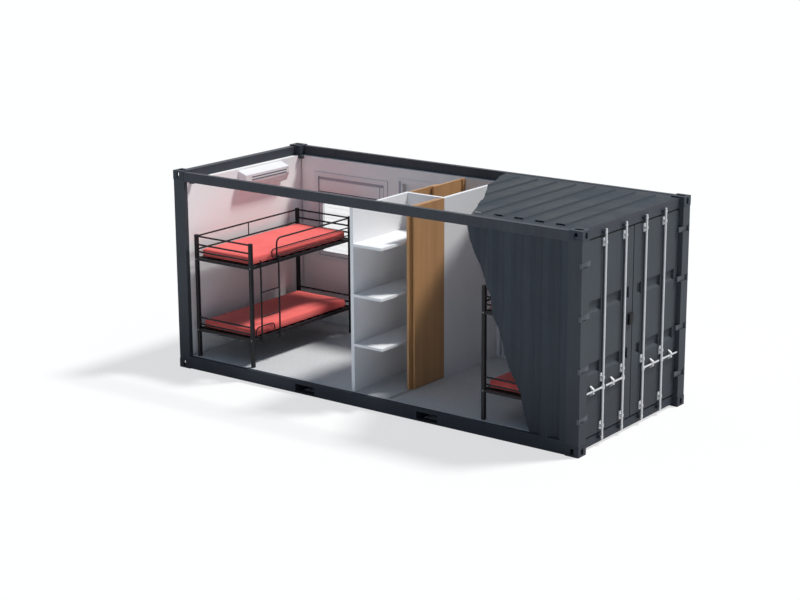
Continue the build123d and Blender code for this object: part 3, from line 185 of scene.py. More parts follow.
container_paint = steel_paint(
    "container_paint", (0.040, 0.049, 0.061), (0.052, 0.062, 0.076), (0.060, 0.073, 0.090)
)
# Painted light and shade: the rails and the door end get lighter copies of the container paint, and
# the roof a darker one, set for how light falls on them.
lit_rail_paint = steel_paint(
    "lit_rail_paint", (0.052, 0.058, 0.069), (0.066, 0.073, 0.086), (0.072, 0.083, 0.098)
)
shaded_roof_paint = steel_paint(
    "shaded_roof_paint", (0.014, 0.022, 0.031), (0.023, 0.032, 0.043), (0.032, 0.044, 0.056)
)
lit_door_paint = steel_paint(
    "lit_door_paint", (0.052, 0.060, 0.070), (0.063, 0.073, 0.084), (0.072, 0.083, 0.096)
)
give(shaded_roof_paint, "roof_panel")
give(lit_rail_paint, "top_side_rails", "blind_end_rails", "door_header")
give(lit_door_paint, "left_cargo_door", "right_cargo_door", "corner_posts", "hinge_lugs")
give(
    container_paint,
    "corner_castings",
    "bottom_side_rails",
    "door_sill",
    "floor_cross_members",
    "fork_pockets",
    "front_panel",
    "back_skin_piers",
    "back_skin_spandrels",
    "blind_skin",
    "keepers",
)


def block(name, low, high, edge, segments=2):
    """A block from its lowest to its highest corner, with its edges eased."""
    low, high = Vector(low), Vector(high)
    bpy.ops.object.select_all(action="DESELECT")
    bpy.ops.mesh.primitive_cube_add(size=1, location=(low + high) / 2)
    piece = bpy.context.object
    piece.name = name
    piece.scale = high - low
    bpy.ops.object.transform_apply(location=True, rotation=True, scale=True)
    bpy.ops.object.mode_set(mode="EDIT")
    bpy.ops.mesh.select_all(action="SELECT")
    bpy.ops.mesh.bevel(offset=edge, segments=segments, affect="EDGES")
    bpy.ops.object.mode_set(mode="OBJECT")
    return piece


def span_on(side, inner, outer):
    """The lower and the upper Y of a span that lies on one side of the centreline."""
    return sorted((side * inner, side * outer))


def pick(piece):
    """Makes a piece the active one, and the only one selected."""
    bpy.ops.object.select_all(action="DESELECT")
    piece.select_set(True)
    bpy.context.view_layer.objects.active = piece


def pick_faces(piece, wanted):
    """Opens a piece in edit mode with only the wanted faces selected."""
    bpy.ops.object.mode_set(mode="EDIT")
    bpy.ops.mesh.select_all(action="DESELECT")
    bpy.ops.object.mode_set(mode="OBJECT")
    for face in piece.data.polygons:
        face.select = wanted(face)
    bpy.ops.object.mode_set(mode="EDIT")


def copy_of(piece, name, move):
    """A copy with its own mesh, moved."""
    twin = piece.copy()
    twin.data = piece.data.copy()
    twin.name = name
    bpy.context.collection.objects.link(twin)
    pick(twin)
    twin.location = move
    bpy.ops.object.transform_apply(location=True, rotation=True, scale=True)
    return twin


def joined(name, parts):
    """Several meshes as one piece."""
    bpy.ops.object.select_all(action="DESELECT")
    for part in parts:
        part.select_set(True)
    bpy.context.view_layer.objects.active = parts[0]
    bpy.ops.object.join()
    parts[0].name = name
    return parts[0]


def finish_piece(piece, material, body):
    """Gives a piece its finish, smooths its rounded edges and fixes it to a body."""
    piece.data.materials.clear()
    piece.data.materials.append(material)
    pick(piece)
    bpy.ops.object.shade_smooth_by_angle(angle=math.radians(35))
    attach(piece, body)


# Steel blocks under the rails in the corners of the blind end, welded where post and rails meet.
block_inner, block_outer = 1.040, 1.098
block_start, block_end = -2.869, -2.812
block_base, block_top = 2.415, 2.4565
corner_blocks = []
for side in (-1, 1):
    near, far = span_on(side, block_inner, block_outer)
    corner_blocks.append(
        block("corner_block", (block_start, near, block_base), (block_end, far, block_top), 0.003)
    )
corner_blocks = joined("corner_blocks", corner_blocks)
finish_piece(corner_blocks, container_paint, "container")

# Bright patches on the floor of each fork pocket: painted light, a pale steel that stands for daylight
# falling into the pockets.
pocket_light_paint, shade, surface = new_finish("pocket_light_paint")
streak_noise = shade.noise(shade.place((1, 14, 1)), 30.0, 3.0).step(0.3, 0.7)
link(streak_noise.between((0.78, 0.79, 0.80), (0.92, 0.92, 0.93)), surface, "Base Color")
link(0.45 + streak_noise * 0.2, surface, "Roughness")
pocket_centre = 0.93
light_before, light_after = 0.125, 0.065
light_inner, light_outer = 0.978, 1.092
light_base, light_top = 0.0186, 0.0199
light_patches = []
for pocket in (-pocket_centre, pocket_centre):
    for side in (-1, 1):
        near, far = span_on(side, light_inner, light_outer)
        low = (pocket - light_before, near, light_base)
        high = (pocket + light_after, far, light_top)
        light_patches.append(block("light_patch", low, high, 0.0004, 1))
light_patches = joined("pocket_light_patches", light_patches)
finish_piece(light_patches, pocket_light_paint, "container")

# ------------------------------------------------------------------ cargo door gear
# Forged hinge blades and pressed bar bearings are welded to each leaf. The blades are painted with
# it, and the bearings and handle catches are galvanised like the bars they hold.
bar_zinc, shade, surface = new_finish("bar_zinc")
grain = shade.noise(shade.place((40, 40, 4)), 2.0, 3.0)
spangle = shade.noise(shade.place(), 60.0, 2.0)
surface.inputs["Metallic"].default_value = 0.3
zinc = grain * 0.6 + spangle * 0.4
link(zinc.between((0.60, 0.61, 0.62), (0.80, 0.81, 0.82)), surface, "Base Color")
link(0.36 + grain * 0.18, surface, "Roughness")
bump(shade, surface, spangle, 0.0002)
give(
    bar_zinc,
    "left_inner_lock_bar",
    "left_outer_lock_bar",
    "right_inner_lock_bar",
    "right_outer_lock_bar",
)

fittings_finish, shade, surface = new_finish("door_fittings")
place = shade.place()
mottle = shade.noise(place, 38.0, 2.0)
spangle = shade.noise(place, 60.0, 2.0)
across = shade.axis("Y")
painted = across.sum("ABSOLUTE", across).step(0.975, 0.985)
paint = mottle.between((0.050, 0.062, 0.077), (0.064, 0.078, 0.094))
zinc = spangle.between((0.55, 0.56, 0.57), (0.78, 0.79, 0.80))
link(painted.between(zinc, paint), surface, "Base Color")
link(0.40 + mottle * 0.14, surface, "Roughness")
link(0.3 - painted * 0.3, surface, "Metallic")
bump(shade, surface, mottle, 0.0003)
give(fittings_finish, "left_door_fittings", "right_door_fittings")


def bolt(name, centre, radius, height, axis):
    """A hexagon bolt head sunk a little in its washer, standing out along the axis."""
    washer_depth = 0.0014
    washer_sink = 0.0012
    bpy.ops.object.select_all(action="DESELECT")
    bpy.ops.mesh.primitive_cylinder_add(
        vertices=6, radius=radius, depth=height, location=(0, 0, height / 2 + washer_sink)
    )
    head = bpy.context.object
    pick_faces(head, lambda face: face.normal.z > 0.9)
    bpy.ops.mesh.bevel(offset=radius * 0.18, segments=1, affect="EDGES")
    bpy.ops.object.mode_set(mode="OBJECT")
    bpy.ops.mesh.primitive_cylinder_add(
        vertices=16, radius=radius * 1.35, depth=washer_depth, location=(0, 0, washer_depth / 2)
    )
    washer = bpy.context.object
    piece = joined(name, [head, washer])
    piece.rotation_euler = Vector(axis).to_track_quat("Z", "Y").to_euler()
    piece.location = centre
    bpy.ops.object.transform_apply(location=True, rotation=True, scale=True)
    return piece


leaf_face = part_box("left_cargo_door")[1][0]
bar_places = (0.229, 0.671)
bearing_levels = (0.236, 0.806, 2.372)
bolt_spread = 0.036
for leaf, side in (("left", -1), ("right", 1)):
    first = bolt("bearing_bolt", (leaf_face + 0.005, 0, 0), 0.0075, 0.006, (1, 0, 0))
    bolts = []
    for y in bar_places:
        for level in bearing_levels:
            for up in (-bolt_spread, bolt_spread):
                bolts.append(copy_of(first, "bearing_bolt", (0, side * y, level + up)))
    bpy.data.objects.remove(first)
    bolts = joined(leaf + "_bearing_bolts", bolts)
    finish_piece(bolts, bar_zinc, leaf + "_cargo_door")

# The lock box: a folded steel hood that shields the padlock, welded on the left leaf by the centre.
# Painted shade: the hood's paint is near black, darker than the door's, to stand for the dark of a
# hollow.
lock_shade_black = steel_paint(
    "lock_shade_black", (0.010, 0.011, 0.013), (0.018, 0.019, 0.022), (0.022, 0.024, 0.028)
)
hood_depth, hood_width, hood_height = 0.030, 0.093, 0.130
hood_sheet, hood_hollow = 0.004, 0.110
hood_front = leaf_face + hood_depth
bpy.ops.object.select_all(action="DESELECT")
bpy.ops.mesh.primitive_cube_add(size=1, location=(leaf_face + hood_depth / 2, -0.0585, 1.355))
lock_box = bpy.context.object
lock_box.name = "lock_box"
lock_box.scale = (hood_depth, hood_width, hood_height)
bpy.ops.object.transform_apply(location=True, rotation=True, scale=True)
pick_faces(lock_box, lambda face: face.normal.z < -0.9)
bpy.ops.mesh.inset(thickness=hood_sheet)
bpy.ops.mesh.extrude_region_move(TRANSFORM_OT_translate={"value": (0, 0, hood_hollow)})
pick_faces(lock_box, lambda face: face.normal.x > 0.9 and face.center.x > hood_front - 0.001)
bpy.ops.mesh.bevel(offset=hood_sheet, segments=2, affect="EDGES")
bpy.ops.object.mode_set(mode="OBJECT")
finish_piece(lock_box, lock_shade_black, "left_cargo_door")

# ------------------------------------------------------------------ door gaskets
# Black extruded rubber, clipped round the edge of each leaf. Each gasket carries a thin lip that
# closes the gap to the frame and to the other leaf.
black_rubber, shade, surface = new_finish("black_rubber")
grain = shade.noise(shade.place(), 90.0, 2.0)
link(grain.between((0.004, 0.004, 0.005), (0.010, 0.010, 0.011)), surface, "Base Color")
link(0.6 + grain * 0.2, surface, "Roughness")
bump(shade, surface, grain, 0.0003)
give(black_rubber, "left_door_gasket", "right_door_gasket")

lip_grip = 0.003
lip_to_header = 0.0134
lip_to_post = 0.0055
lip_to_leaf = 0.0002
lip_overlap = 0.002
lip_front, lip_back = 0.010, 0.014
for name, side in (("left", -1), ("right", 1)):
    seal_low, seal_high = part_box(name + "_door_gasket")
    inner, outer = sorted((abs(seal_low[1]), abs(seal_high[1])))
    base, top = seal_low[2] + lip_grip, seal_high[2] - lip_grip
    edge = outer + lip_to_post
    lips = []
    for y0, y1, z0, z1 in (
        (lip_to_leaf, edge, top, seal_high[2] + lip_to_header),
        (lip_to_leaf, edge, seal_low[2] - lip_to_header, base),
        (outer - lip_grip, edge, base, top),
        (lip_to_leaf, inner + lip_overlap, base, top),
    ):
        near, far = span_on(side, y0, y1)
        low = (seal_high[0] - lip_back, near, z0)
        high = (seal_high[0] - lip_front, far, z1)
        lips.append(block("lip", low, high, 0.0008, 1))
    lips = joined(name + "_gasket_lips", lips)
    finish_piece(lips, black_rubber, name + "_cargo_door")

# ------------------------------------------------------------------ floor
# A pale grey sheet floor with a fine speckle, glued on plywood that is fixed to the steel cross
# members.
floor_sheet, shade, surface = new_finish("floor_sheet")
place = shade.place()
speckle = shade.noise(place, 150.0, 2.0)
chips = shade.noise(place, 60.0, 2.0, 0.6)
clouds = shade.noise(place, 2.5, 3.0)
base = clouds.between((0.57, 0.585, 0.60), (0.67, 0.685, 0.70))
darker = (speckle.step(0.52, 0.64) * 0.35 + chips.step(0.58, 0.66) * 0.4).between(
    base, (0.30, 0.30, 0.30)
)
link(darker, surface, "Base Color")
link(0.5 + speckle * 0.15, surface, "Roughness")
bump(shade, surface, speckle, 0.0002)
give(floor_sheet, "floor_deck")

# ------------------------------------------------------------------ wall and ceiling linings
# Smooth white faced panels behind the steel, with the faintest orange-peel of factory paint. The
# partitions and shelves are boards with a slightly cooler face. The end wall's white is the whitest,
# which is painted light for the sun that falls on it.
def panel_white(name, tone, lighter):
    """Coil-coated white, a little clouded and scuffed."""
    material, shade, surface = new_finish(name)
    place = shade.place()
    peel = shade.noise(place, 220.0, 2.0)
    clouds = shade.noise(place, 1.4, 3.0)
    streak_noise = shade.noise(shade.place((3, 3, 14)), 3.0, 4.0, 0.6)
    base = clouds.between(tone, lighter)
    link((streak_noise.step(0.62, 0.8) * 0.12).between(base, (0.60, 0.58, 0.57)), surface, "Base Color")
    link(0.42 + clouds * 0.12, surface, "Roughness")
    surface.inputs["Specular IOR Level"].default_value = 0.15
    bump(shade, surface, peel, 0.00012)
    return material


wall_white = panel_white("wall_white", (0.88, 0.88, 0.88), (0.92, 0.92, 0.92))
partition_white = panel_white("partition_white", (0.84, 0.85, 0.87), (0.88, 0.89, 0.91))
# Painted light: the end wall's brighter white stands for the sun on it.
lit_end_white = panel_white("lit_end_white", (0.95, 0.95, 0.95), (0.975, 0.975, 0.975))
give(lit_end_white, "blind_lining")
give(partition_white, "front_partition", "cross_partition", "back_partition", "shelves")
give(
    wall_white,
    "back_lining_piers",
    "back_lining_spandrels",
    "front_lining",
    "ceiling_lining",
)

# ------------------------------------------------------------------ windows and room doors
# White plastic profiles, mitred and welded, screwed into the wall opening. The leaves are filled
# panels in the same white, with a pressed outline.
frame_white, shade, surface = new_finish("frame_white")
place = shade.place()
fine = shade.noise(place, 140.0, 2.0)
clouds = shade.noise(place, 2.0, 2.0)
link(clouds.between((0.80, 0.81, 0.82), (0.86, 0.87, 0.88)), surface, "Base Color")
link(0.26 + fine * 0.12, surface, "Roughness")
bump(shade, surface, fine, 0.00008)
give(
    frame_white,
    "window_frames",
    "door_jambs",
    "doorway_crosspieces",
    "left_room_door",
    "right_room_door",
)

# Shutter boxes over the panes, and the slim slats of the curtains below them, open, so that daylight
# comes between them. The slats hang in side guides and end in a bottom bar.
slat_white, shade, surface = new_finish("slat_white")
fine = shade.noise(shade.place((2, 2, 30)), 12.0, 2.0)
slat_tone = fine.between((0.84, 0.84, 0.84), (0.90, 0.90, 0.90))
link(slat_tone, surface, "Base Color")
link(0.45 + fine * 0.1, surface, "Roughness")
bump(shade, surface, fine, 0.0001)
window_centres = (-2.010, 2.090)
shutter_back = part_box("roller_shutters")[1][1]
box_half, box_face = 0.5595, 1.1085
box_base, box_top = 1.9905, 2.1995
guide_place, guide_half = 0.552, 0.007
guide_face, guide_back, guide_top = 1.1595, 1.1800, 1.9900
curtain_base = 1.1105
end_bar_face, end_bar_back, end_bar_top = 1.1600, 1.1700, 1.1500
slat_half, slat_face, slat_base, slat_depth = 0.548, 1.1625, 1.1930, 0.0035
slat_count, slat_pitch = 11, 0.072
slats = []
for x in window_centres:
    low, high = (x - box_half, box_face, box_base), (x + box_half, shutter_back, box_top)
    slats.append(block("shutter_box", low, high, 0.004))
    low = (x - guide_place, end_bar_face, curtain_base)
    high = (x + guide_place, end_bar_back, end_bar_top)
    slats.append(block("bottom_bar", low, high, 0.002))
    for side in (-1, 1):
        guide = x + side * guide_place
        low = (guide - guide_half, guide_face, curtain_base)
        high = (guide + guide_half, guide_back, guide_top)
        slats.append(block("side_guide", low, high, 0.0015))
    low = (x - slat_half, slat_face, slat_base)
    high = (x + slat_half, slat_face + slat_depth, slat_base + slat_depth)
    first = block("slat", low, high, 0.001)
    for step in range(slat_count):
        slats.append(copy_of(first, "slat", (0, 0, slat_pitch * step)))
    bpy.data.objects.remove(first)
slats = joined("shutter_slats", slats)
finish_piece(slats, slat_white, "container")
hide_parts("roller_shutters")

# Panes of clear double glazing.
window_pane, shade, surface = new_finish("window_pane")
haze = shade.noise(shade.place(), 3.0, 2.0)
surface.inputs["Base Color"].default_value = (0.85, 0.9, 0.92, 1)
surface.inputs["Alpha"].default_value = 0.07
link(0.04 + haze * 0.05, surface, "Roughness")
give(window_pane, "window_glass")

# Grey seals pressed into the profiles: one round each pane, one round the shutter box, and one
# round each window frame where it meets the wall. Their dark grey is partly painted shade: it also
# draws the shade lines at the steps of the frames.
seal_and_shade_grey, shade, surface = new_finish("seal_and_shade_grey")
grain = shade.noise(shade.place(), 120.0, 2.0)
link(grain.between((0.085, 0.10, 0.13), (0.13, 0.15, 0.19)), surface, "Base Color")
link(0.55 + grain * 0.2, surface, "Roughness")
bump(shade, surface, grain, 0.0002)


def seal_loop(name, x0, x1, z0, z1, face, width, depth):
    """A mitred rectangle of seal on a face that looks along -Y, standing out by its depth."""
    bpy.ops.object.select_all(action="DESELECT")
    bpy.ops.mesh.primitive_plane_add(size=1, location=(0, 0, 0))
    piece = bpy.context.object
    piece.name = name
    piece.rotation_euler = (math.radians(90), 0, 0)
    piece.scale = (x1 - x0, z1 - z0, 1)
    piece.location = ((x0 + x1) / 2, face, (z0 + z1) / 2)
    bpy.ops.object.transform_apply(location=True, rotation=True, scale=True)
    bpy.ops.object.mode_set(mode="EDIT")
    bpy.ops.mesh.select_all(action="SELECT")
    bpy.ops.mesh.inset(thickness=width)
    bpy.ops.mesh.delete(type="ONLY_FACE")
    bpy.ops.mesh.select_all(action="SELECT")
    bpy.ops.mesh.extrude_region_move(TRANSFORM_OT_translate={"value": (0, -depth, 0)})
    bpy.ops.mesh.select_all(action="SELECT")
    bpy.ops.mesh.normals_make_consistent(inside=False)
    bpy.ops.object.mode_set(mode="OBJECT")
    return piece


profile_face, lining_face = 1.1075, 1.0995
seals = []
for x in window_centres:
    for name, half, base, top, face, width, depth in (
        ("pane_seal", 0.507, 1.163, 1.937, profile_face, 0.006, 0.0035),
        ("sash_seal", 0.5615, 1.109, 1.9915, profile_face, 0.005, 0.003),
        ("box_seal", 0.5615, 1.9925, 2.2015, profile_face, 0.006, 0.003),
        ("frame_seal", 0.621, 1.049, 2.261, lining_face, 0.005, 0.004),
    ):
        seals.append(seal_loop(name, x - half, x + half, base, top, face, width, depth))
seals = joined("window_seals_and_shade_lines", seals)
finish_piece(seals, seal_and_shade_grey, "container")

# Grey strips of painted shade: a band along the top of each shutter box, two lines by its strap
# guide, and a line along the jamb of each room door, all where shade falls.
shade_strip_grey, shade, surface = new_finish("shade_strip_grey")
grain = shade.noise(shade.place(), 90.0, 2.0)
link(grain.between((0.36, 0.38, 0.44), (0.44, 0.46, 0.52)), surface, "Base Color")
link(0.6 + grain * 0.2, surface, "Roughness")
bump(shade, surface, grain, 0.0002)
# Each strip is painted shade, a dark band set where shade falls at a step or a jamb.
strip_face, strip_back = 1.1055, 1.1090
band_base, band_top = 2.1560, 2.1990
line_base, line_top = 1.9950, 2.1550
jamb_places, jamb_half = (-1.180, -0.290, 0.430, 1.320), 0.016
jamb_face, jamb_back = 1.0850, 1.0885
jamb_base, jamb_top = 0.2000, 2.2900
shade_strips = []
for x in window_centres:
    low, high = (x - box_half, strip_face, band_base), (x + box_half, strip_back, band_top)
    shade_strips.append(block("box_shade_band", low, high, 0.001))
    for offset, half in ((0.548, 0.010), (0.480, 0.006)):
        line_x = x + offset
        low, high = (line_x - half, strip_face, line_base), (line_x + half, strip_back, line_top)
        shade_strips.append(block("strap_shade_line", low, high, 0.001))
for x in jamb_places:
    low, high = (x - jamb_half, jamb_face, jamb_base), (x + jamb_half, jamb_back, jamb_top)
    shade_strips.append(block("jamb_shade_line", low, high, 0.001))
shade_strips = joined("painted_shade_strips", shade_strips)
finish_piece(shade_strips, shade_strip_grey, "container")

# ------------------------------------------------------------------ wardrobe leaves
# Boards faced with mid-brown wood grain laminate, the grain upright. The leaves slide in floor
# tracks, and a post of the same board is what they close on.
veneer, shade, surface = new_finish("wardrobe_veneer")
warp = shade.noise(shade.place((1, 1, 0.25)), 2.2, 2.0)
fibres = shade.noise(shade.place((70, 70, 1.3)), 1.0, 4.0, 0.6)
bands = shade.noise(shade.place((7, 7, 0.3)), 1.3, 2.0)
grain = (fibres * 0.25 + bands * 0.30 + warp * 0.45).step(0.22, 0.80)
link(grain.between((0.40, 0.205, 0.085), (0.60, 0.335, 0.150)), surface, "Base Color")
link(0.40 + fibres * 0.16, surface, "Roughness")
bump(shade, surface, fibres, 0.0002)
give(
    veneer,
    "right_wardrobe_inner_leaf",
    "right_wardrobe_outer_leaf",
    "left_wardrobe_front_leaf",
    "left_wardrobe_back_leaf",
    "wardrobe_post",
)

# ------------------------------------------------------------------ levers and floor tracks
# Levers of satin nickel on roses, screwed to the room doors, and tracks of drawn aluminium, screwed
# to the floor under the wardrobe leaves.
satin_nickel, shade, surface = new_finish("satin_nickel")
grain = shade.noise(shade.place((90, 6, 6)), 2.0, 3.0)
surface.inputs["Metallic"].default_value = 0.9
link(grain.between((0.50, 0.49, 0.47), (0.62, 0.61, 0.59)), surface, "Base Color")
link(0.28 + grain * 0.15, surface, "Roughness")
give(satin_nickel, "left_room_lever", "right_room_lever", "wardrobe_tracks")

# ------------------------------------------------------------------ bunk beds
# Frames of welded tube, powder coated near black and bolted together at the posts. Moulded caps
# close the post tops, and a thin dark board is clipped under the slats of each bed.
bunk_black, shade, surface = new_finish("bunk_black")
place = shade.place()
grain = shade.noise(place, 300.0, 2.0)
clouds = shade.noise(place, 5.0, 2.0)
link(clouds.between((0.010, 0.010, 0.012), (0.018, 0.018, 0.021)), surface, "Base Color")
link(0.42 + grain * 0.16, surface, "Roughness")
surface.inputs["Specular IOR Level"].default_value = 0.2
bump(shade, surface, grain, 0.00015)
give(bunk_black, "bunk_posts", "bunk_decks", "bunk_end_rails", "bunk_guards", "bunk_ladders")

bed_sides = (-2.759, 1.677)
post_spread = 0.908
post_ends = (-1.117, 0.868)
deck_levels = (0.522, 1.456)
cap_half, cap_base, cap_top = 0.0205, 1.7695, 1.7745
caps = []
for bed_side in bed_sides:
    for x in (bed_side, bed_side + post_spread):
        for y in post_ends:
            low, high = (x - cap_half, y - cap_half, cap_base), (x + cap_half, y + cap_half, cap_top)
            caps.append(block("post_cap", low, high, 0.002))
caps = joined("bunk_post_caps", caps)
finish_piece(caps, black_rubber, "container")

board_inset = 0.0175
board_front, board_back = -1.096, 0.847
board_lift, board_top = 0.0032, 0.0054
boards = []
for bed_side in bed_sides:
    for level in deck_levels:
        low = (bed_side + board_inset, board_front, level + board_lift)
        high = (bed_side + post_spread - board_inset, board_back, level + board_top)
        boards.append(block("bed_board", low, high, 0.0008))
boards = joined("bed_boards", boards)
finish_piece(boards, bunk_black, "container")

# A bolt holds each deck to the front of its posts.
post_front = -1.138
first = bolt("bunk_bolt", (0, 0, 0), 0.006, 0.004, (0, -1, 0))
bolts = []
for bed_side in bed_sides:
    for x in (bed_side, bed_side + post_spread):
        for level in deck_levels:
            bolts.append(copy_of(first, "bunk_bolt", (x, post_front, level)))
bpy.data.objects.remove(first)
bolts = joined("bunk_bolts", bolts)
finish_piece(bolts, bar_zinc, "container")

# ------------------------------------------------------------------ mattresses
# Foam slabs in a zipped red woven cover, with a corded seam round the top and the bottom edge. They
# lie loose on the slats.
red_cover, shade, surface = new_finish("red_cover")
place = shade.place()
warp = shade.noise(shade.place((900, 260, 260)), 1.0, 2.0)
weft = shade.noise(shade.place((260, 900, 260)), 1.0, 2.0)
clouds = shade.noise(place, 3.0, 3.0)
weave = warp * 0.5 + weft * 0.5
tone = (weave * 0.45 + clouds * 0.55).step(0.3, 0.7)
link(tone.between((0.78, 0.100, 0.092), (0.88, 0.145, 0.130)), surface, "Base Color")
link(0.74 + weave * 0.2, surface, "Roughness")
surface.inputs["Sheen Weight"].default_value = 0.15
bump(shade, surface, weave, 0.0008, 0.6)

slab_low, slab_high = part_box("upper_mattresses")
slab_base = slab_low[2]
slab_height = slab_high[2] - slab_low[2]
slab_y = (slab_low[1] + slab_high[1]) / 2
half_width = 0.440
half_length = (slab_high[1] - slab_low[1]) / 2
slab_x = slab_low[0] + half_width
foam_inset, foam_lift, foam_drop = 0.010, 0.003, 0.016
foam = block(
    "mattress",
    (slab_x - half_width + foam_inset, slab_y - half_length + foam_inset, slab_base + foam_lift),
    (
        slab_x + half_width - foam_inset,
        slab_y + half_length - foam_inset,
        slab_base + slab_height - foam_drop,
    ),
    0.024,
    3,
)
remesh = foam.modifiers.new("remesh", "REMESH")
remesh.mode = "VOXEL"
remesh.voxel_size = 0.018
bpy.ops.object.modifier_apply(modifier="remesh")
started = [vertex.co.copy() for vertex in foam.data.vertices]
cloth = foam.modifiers.new("cloth", "CLOTH")
cloth.settings.use_pressure = True
cloth.settings.uniform_pressure_force = 4
cloth.settings.effector_weights.gravity = 0
for frame_number in range(1, 21):
    bpy.context.scene.frame_set(frame_number)
bpy.ops.object.modifier_apply(modifier="cloth")
bpy.context.scene.frame_set(1)
# The swollen foam keeps to the space that the bed's frame leaves for it.
swell_limit = 0.012
cover_x, cover_y = half_width - 0.003, half_length - 0.003
cover_base, cover_top = slab_base + 0.0008, slab_base + slab_height - 0.001
for vertex, start in zip(foam.data.vertices, started):
    moved = vertex.co - start
    if moved.length > swell_limit:
        moved = moved.normalized() * swell_limit
    point = start + moved
    point.x = min(max(point.x, slab_x - cover_x), slab_x + cover_x)
    point.y = min(max(point.y, slab_y - cover_y), slab_y + cover_y)
    point.z = min(max(point.z, cover_base), cover_top)
    vertex.co = point
subdivision = foam.modifiers.new("subdivision", "SUBSURF")
subdivision.levels = 1
subdivision.render_levels = 1
bpy.ops.object.modifier_apply(modifier="subdivision")


def corded_seam(name, level, inset):
    """A cord sewn round the slab at one level, laid on the swollen cover."""
    corner = 0.035
    stitch_run = 0.03
    outline = []
    for turn, (across, along) in enumerate(((1, 1), (-1, 1), (-1, -1), (1, -1))):
        for step in range(7):
            angle = math.radians(90 * turn + 15 * step)
            outline.append(
                (
                    slab_x + across * (half_width - inset - corner) + corner * math.cos(angle),
                    slab_y + along * (half_length - inset - corner) + corner * math.sin(angle),
                )
            )
    path = []
    for (x0, y0), (x1, y1) in zip(outline, outline[1:] + outline[:1]):
        count = max(1, round(math.hypot(x1 - x0, y1 - y0) / stitch_run))
        for step in range(count):
            part = step / count
            _, point, normal, _ = foam.closest_point_on_mesh(
                (x0 + (x1 - x0) * part, y0 + (y1 - y0) * part, level)
            )
            path.append(point + normal * 0.0005)
    curve = bpy.data.curves.new(name, "CURVE")
    curve.dimensions = "3D"
    curve.bevel_depth = 0.0026
    curve.bevel_resolution = 2
    spline = curve.splines.new("POLY")
    spline.points.add(len(path) - 1)
    for point, place in zip(spline.points, path):
        point.co = (*place, 1)
    spline.use_cyclic_u = True
    cord = bpy.data.objects.new(name, curve)
    bpy.context.collection.objects.link(cord)
    pick(cord)
    bpy.ops.object.convert(target="MESH")
    return bpy.context.object


seam_inset = 0.002
top_seam = corded_seam("top_seam", slab_base + slab_height - 0.014, seam_inset)
low_seam = corded_seam("low_seam", slab_base + 0.012, seam_inset)
mattress = joined("left_upper_mattress", [foam, top_seam, low_seam])
low_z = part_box("lower_mattresses")[0][2] - slab_base
far_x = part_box("upper_mattresses")[1][0] - half_width - slab_x
copies = [
    (mattress, "upper_mattresses"),
    (copy_of(mattress, "left_lower_mattress", (0, 0, low_z)), "lower_mattresses"),
    (copy_of(mattress, "right_upper_mattress", (far_x, 0, 0)), "upper_mattresses"),
    (copy_of(mattress, "right_lower_mattress", (far_x, 0, low_z)), "lower_mattresses"),
]
for piece, node in copies:
    piece.data.materials.clear()
    piece.data.materials.append(red_cover)
    pick(piece)
    bpy.ops.object.shade_smooth()
    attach(piece, "container")
    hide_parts(node)

# ------------------------------------------------------------------ air conditioner
# A moulded white indoor unit screwed high on the end wall. Its front has two gaps, drawn as dark
# strips of painted shade, and a signal lamp, and two swinging blades hang under it.
unit_white, shade, surface = new_finish("unit_white")
place = shade.place()
fine = shade.noise(place, 180.0, 2.0)
clouds = shade.noise(place, 3.0, 2.0)
link(clouds.between((0.78, 0.78, 0.79), (0.85, 0.85, 0.86)), surface, "Base Color")
link(0.30 + fine * 0.12, surface, "Roughness")
bump(shade, surface, fine, 0.0001)
give(unit_white, "air_conditioner")

unit_dark_and_shade, shade, surface = new_finish("unit_dark_and_shade")
fine = shade.noise(shade.place(), 120.0, 2.0)
link(fine.between((0.10, 0.11, 0.13), (0.16, 0.17, 0.20)), surface, "Base Color")
link(0.5 + fine * 0.2, surface, "Roughness")
unit_low, unit_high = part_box("air_conditioner")
unit_front = unit_high[0]
unit_left, unit_right = unit_low[1], unit_high[1]
gap_bases, gap_height = (2.338, 2.303), 0.016
gap_left, gap_right = unit_left + 0.12, unit_right - 0.05
lamp_left, lamp_base, lamp_size = unit_right - 0.034, 2.362, 0.010
sunk = unit_front - 0.004
gaps = []
# Painted shade: each louvre gap is a dark strip set on the front.
for base in gap_bases:
    low = (sunk, gap_left, base)
    high = (unit_front + 0.0012, gap_right, base + gap_height)
    gaps.append(block("louvre_gap_shade", low, high, 0.0004, 1))
low = (sunk, lamp_left, lamp_base)
high = (unit_front + 0.0015, lamp_left + lamp_size, lamp_base + lamp_size)
gaps.append(block("signal_lamp", low, high, 0.001, 1))
gaps = joined("unit_gaps", gaps)
finish_piece(gaps, unit_dark_and_shade, "container")

blade_tilt = math.radians(22.2)
blade_half_depth, blade_half_height = 0.0015, 0.017
blade_left, blade_right = unit_left + 0.155, unit_right - 0.065
blade_set_back, blade_lean, blade_level = 0.010, 0.409, 2.271
blades = []
for drop in (0.0, 0.045):
    low = (-blade_half_depth, blade_left, -blade_half_height)
    high = (blade_half_depth, blade_right, blade_half_height)
    blade = block("louvre", low, high, 0.001)
    blade.rotation_euler = (0, blade_tilt, 0)
    blade.location = (unit_front - blade_set_back - drop * blade_lean, 0, blade_level - drop)
    pick(blade)
    bpy.ops.object.transform_apply(location=True, rotation=True, scale=True)
    blades.append(blade)
blades = joined("louvre_blades", blades)
finish_piece(blades, unit_white, "container")

# ------------------------------------------------------------------ studio
# A pale floor that stays white around the shadow, a soft key from behind on the right, and a broad
# even fill.
def seen_share(shade):
    """1 where the camera, a reflection or glass shows the surface, and 0 where it only gives light."""
    camera_ray = shade.add("ShaderNodeLightPath", output="Is Camera Ray")
    glossy_ray = shade.add("ShaderNodeLightPath", output="Is Glossy Ray")
    passed_ray = shade.add("ShaderNodeLightPath", output="Is Transmission Ray")
    return shade.sum("MINIMUM", camera_ray + glossy_ray + passed_ray, 1.0)


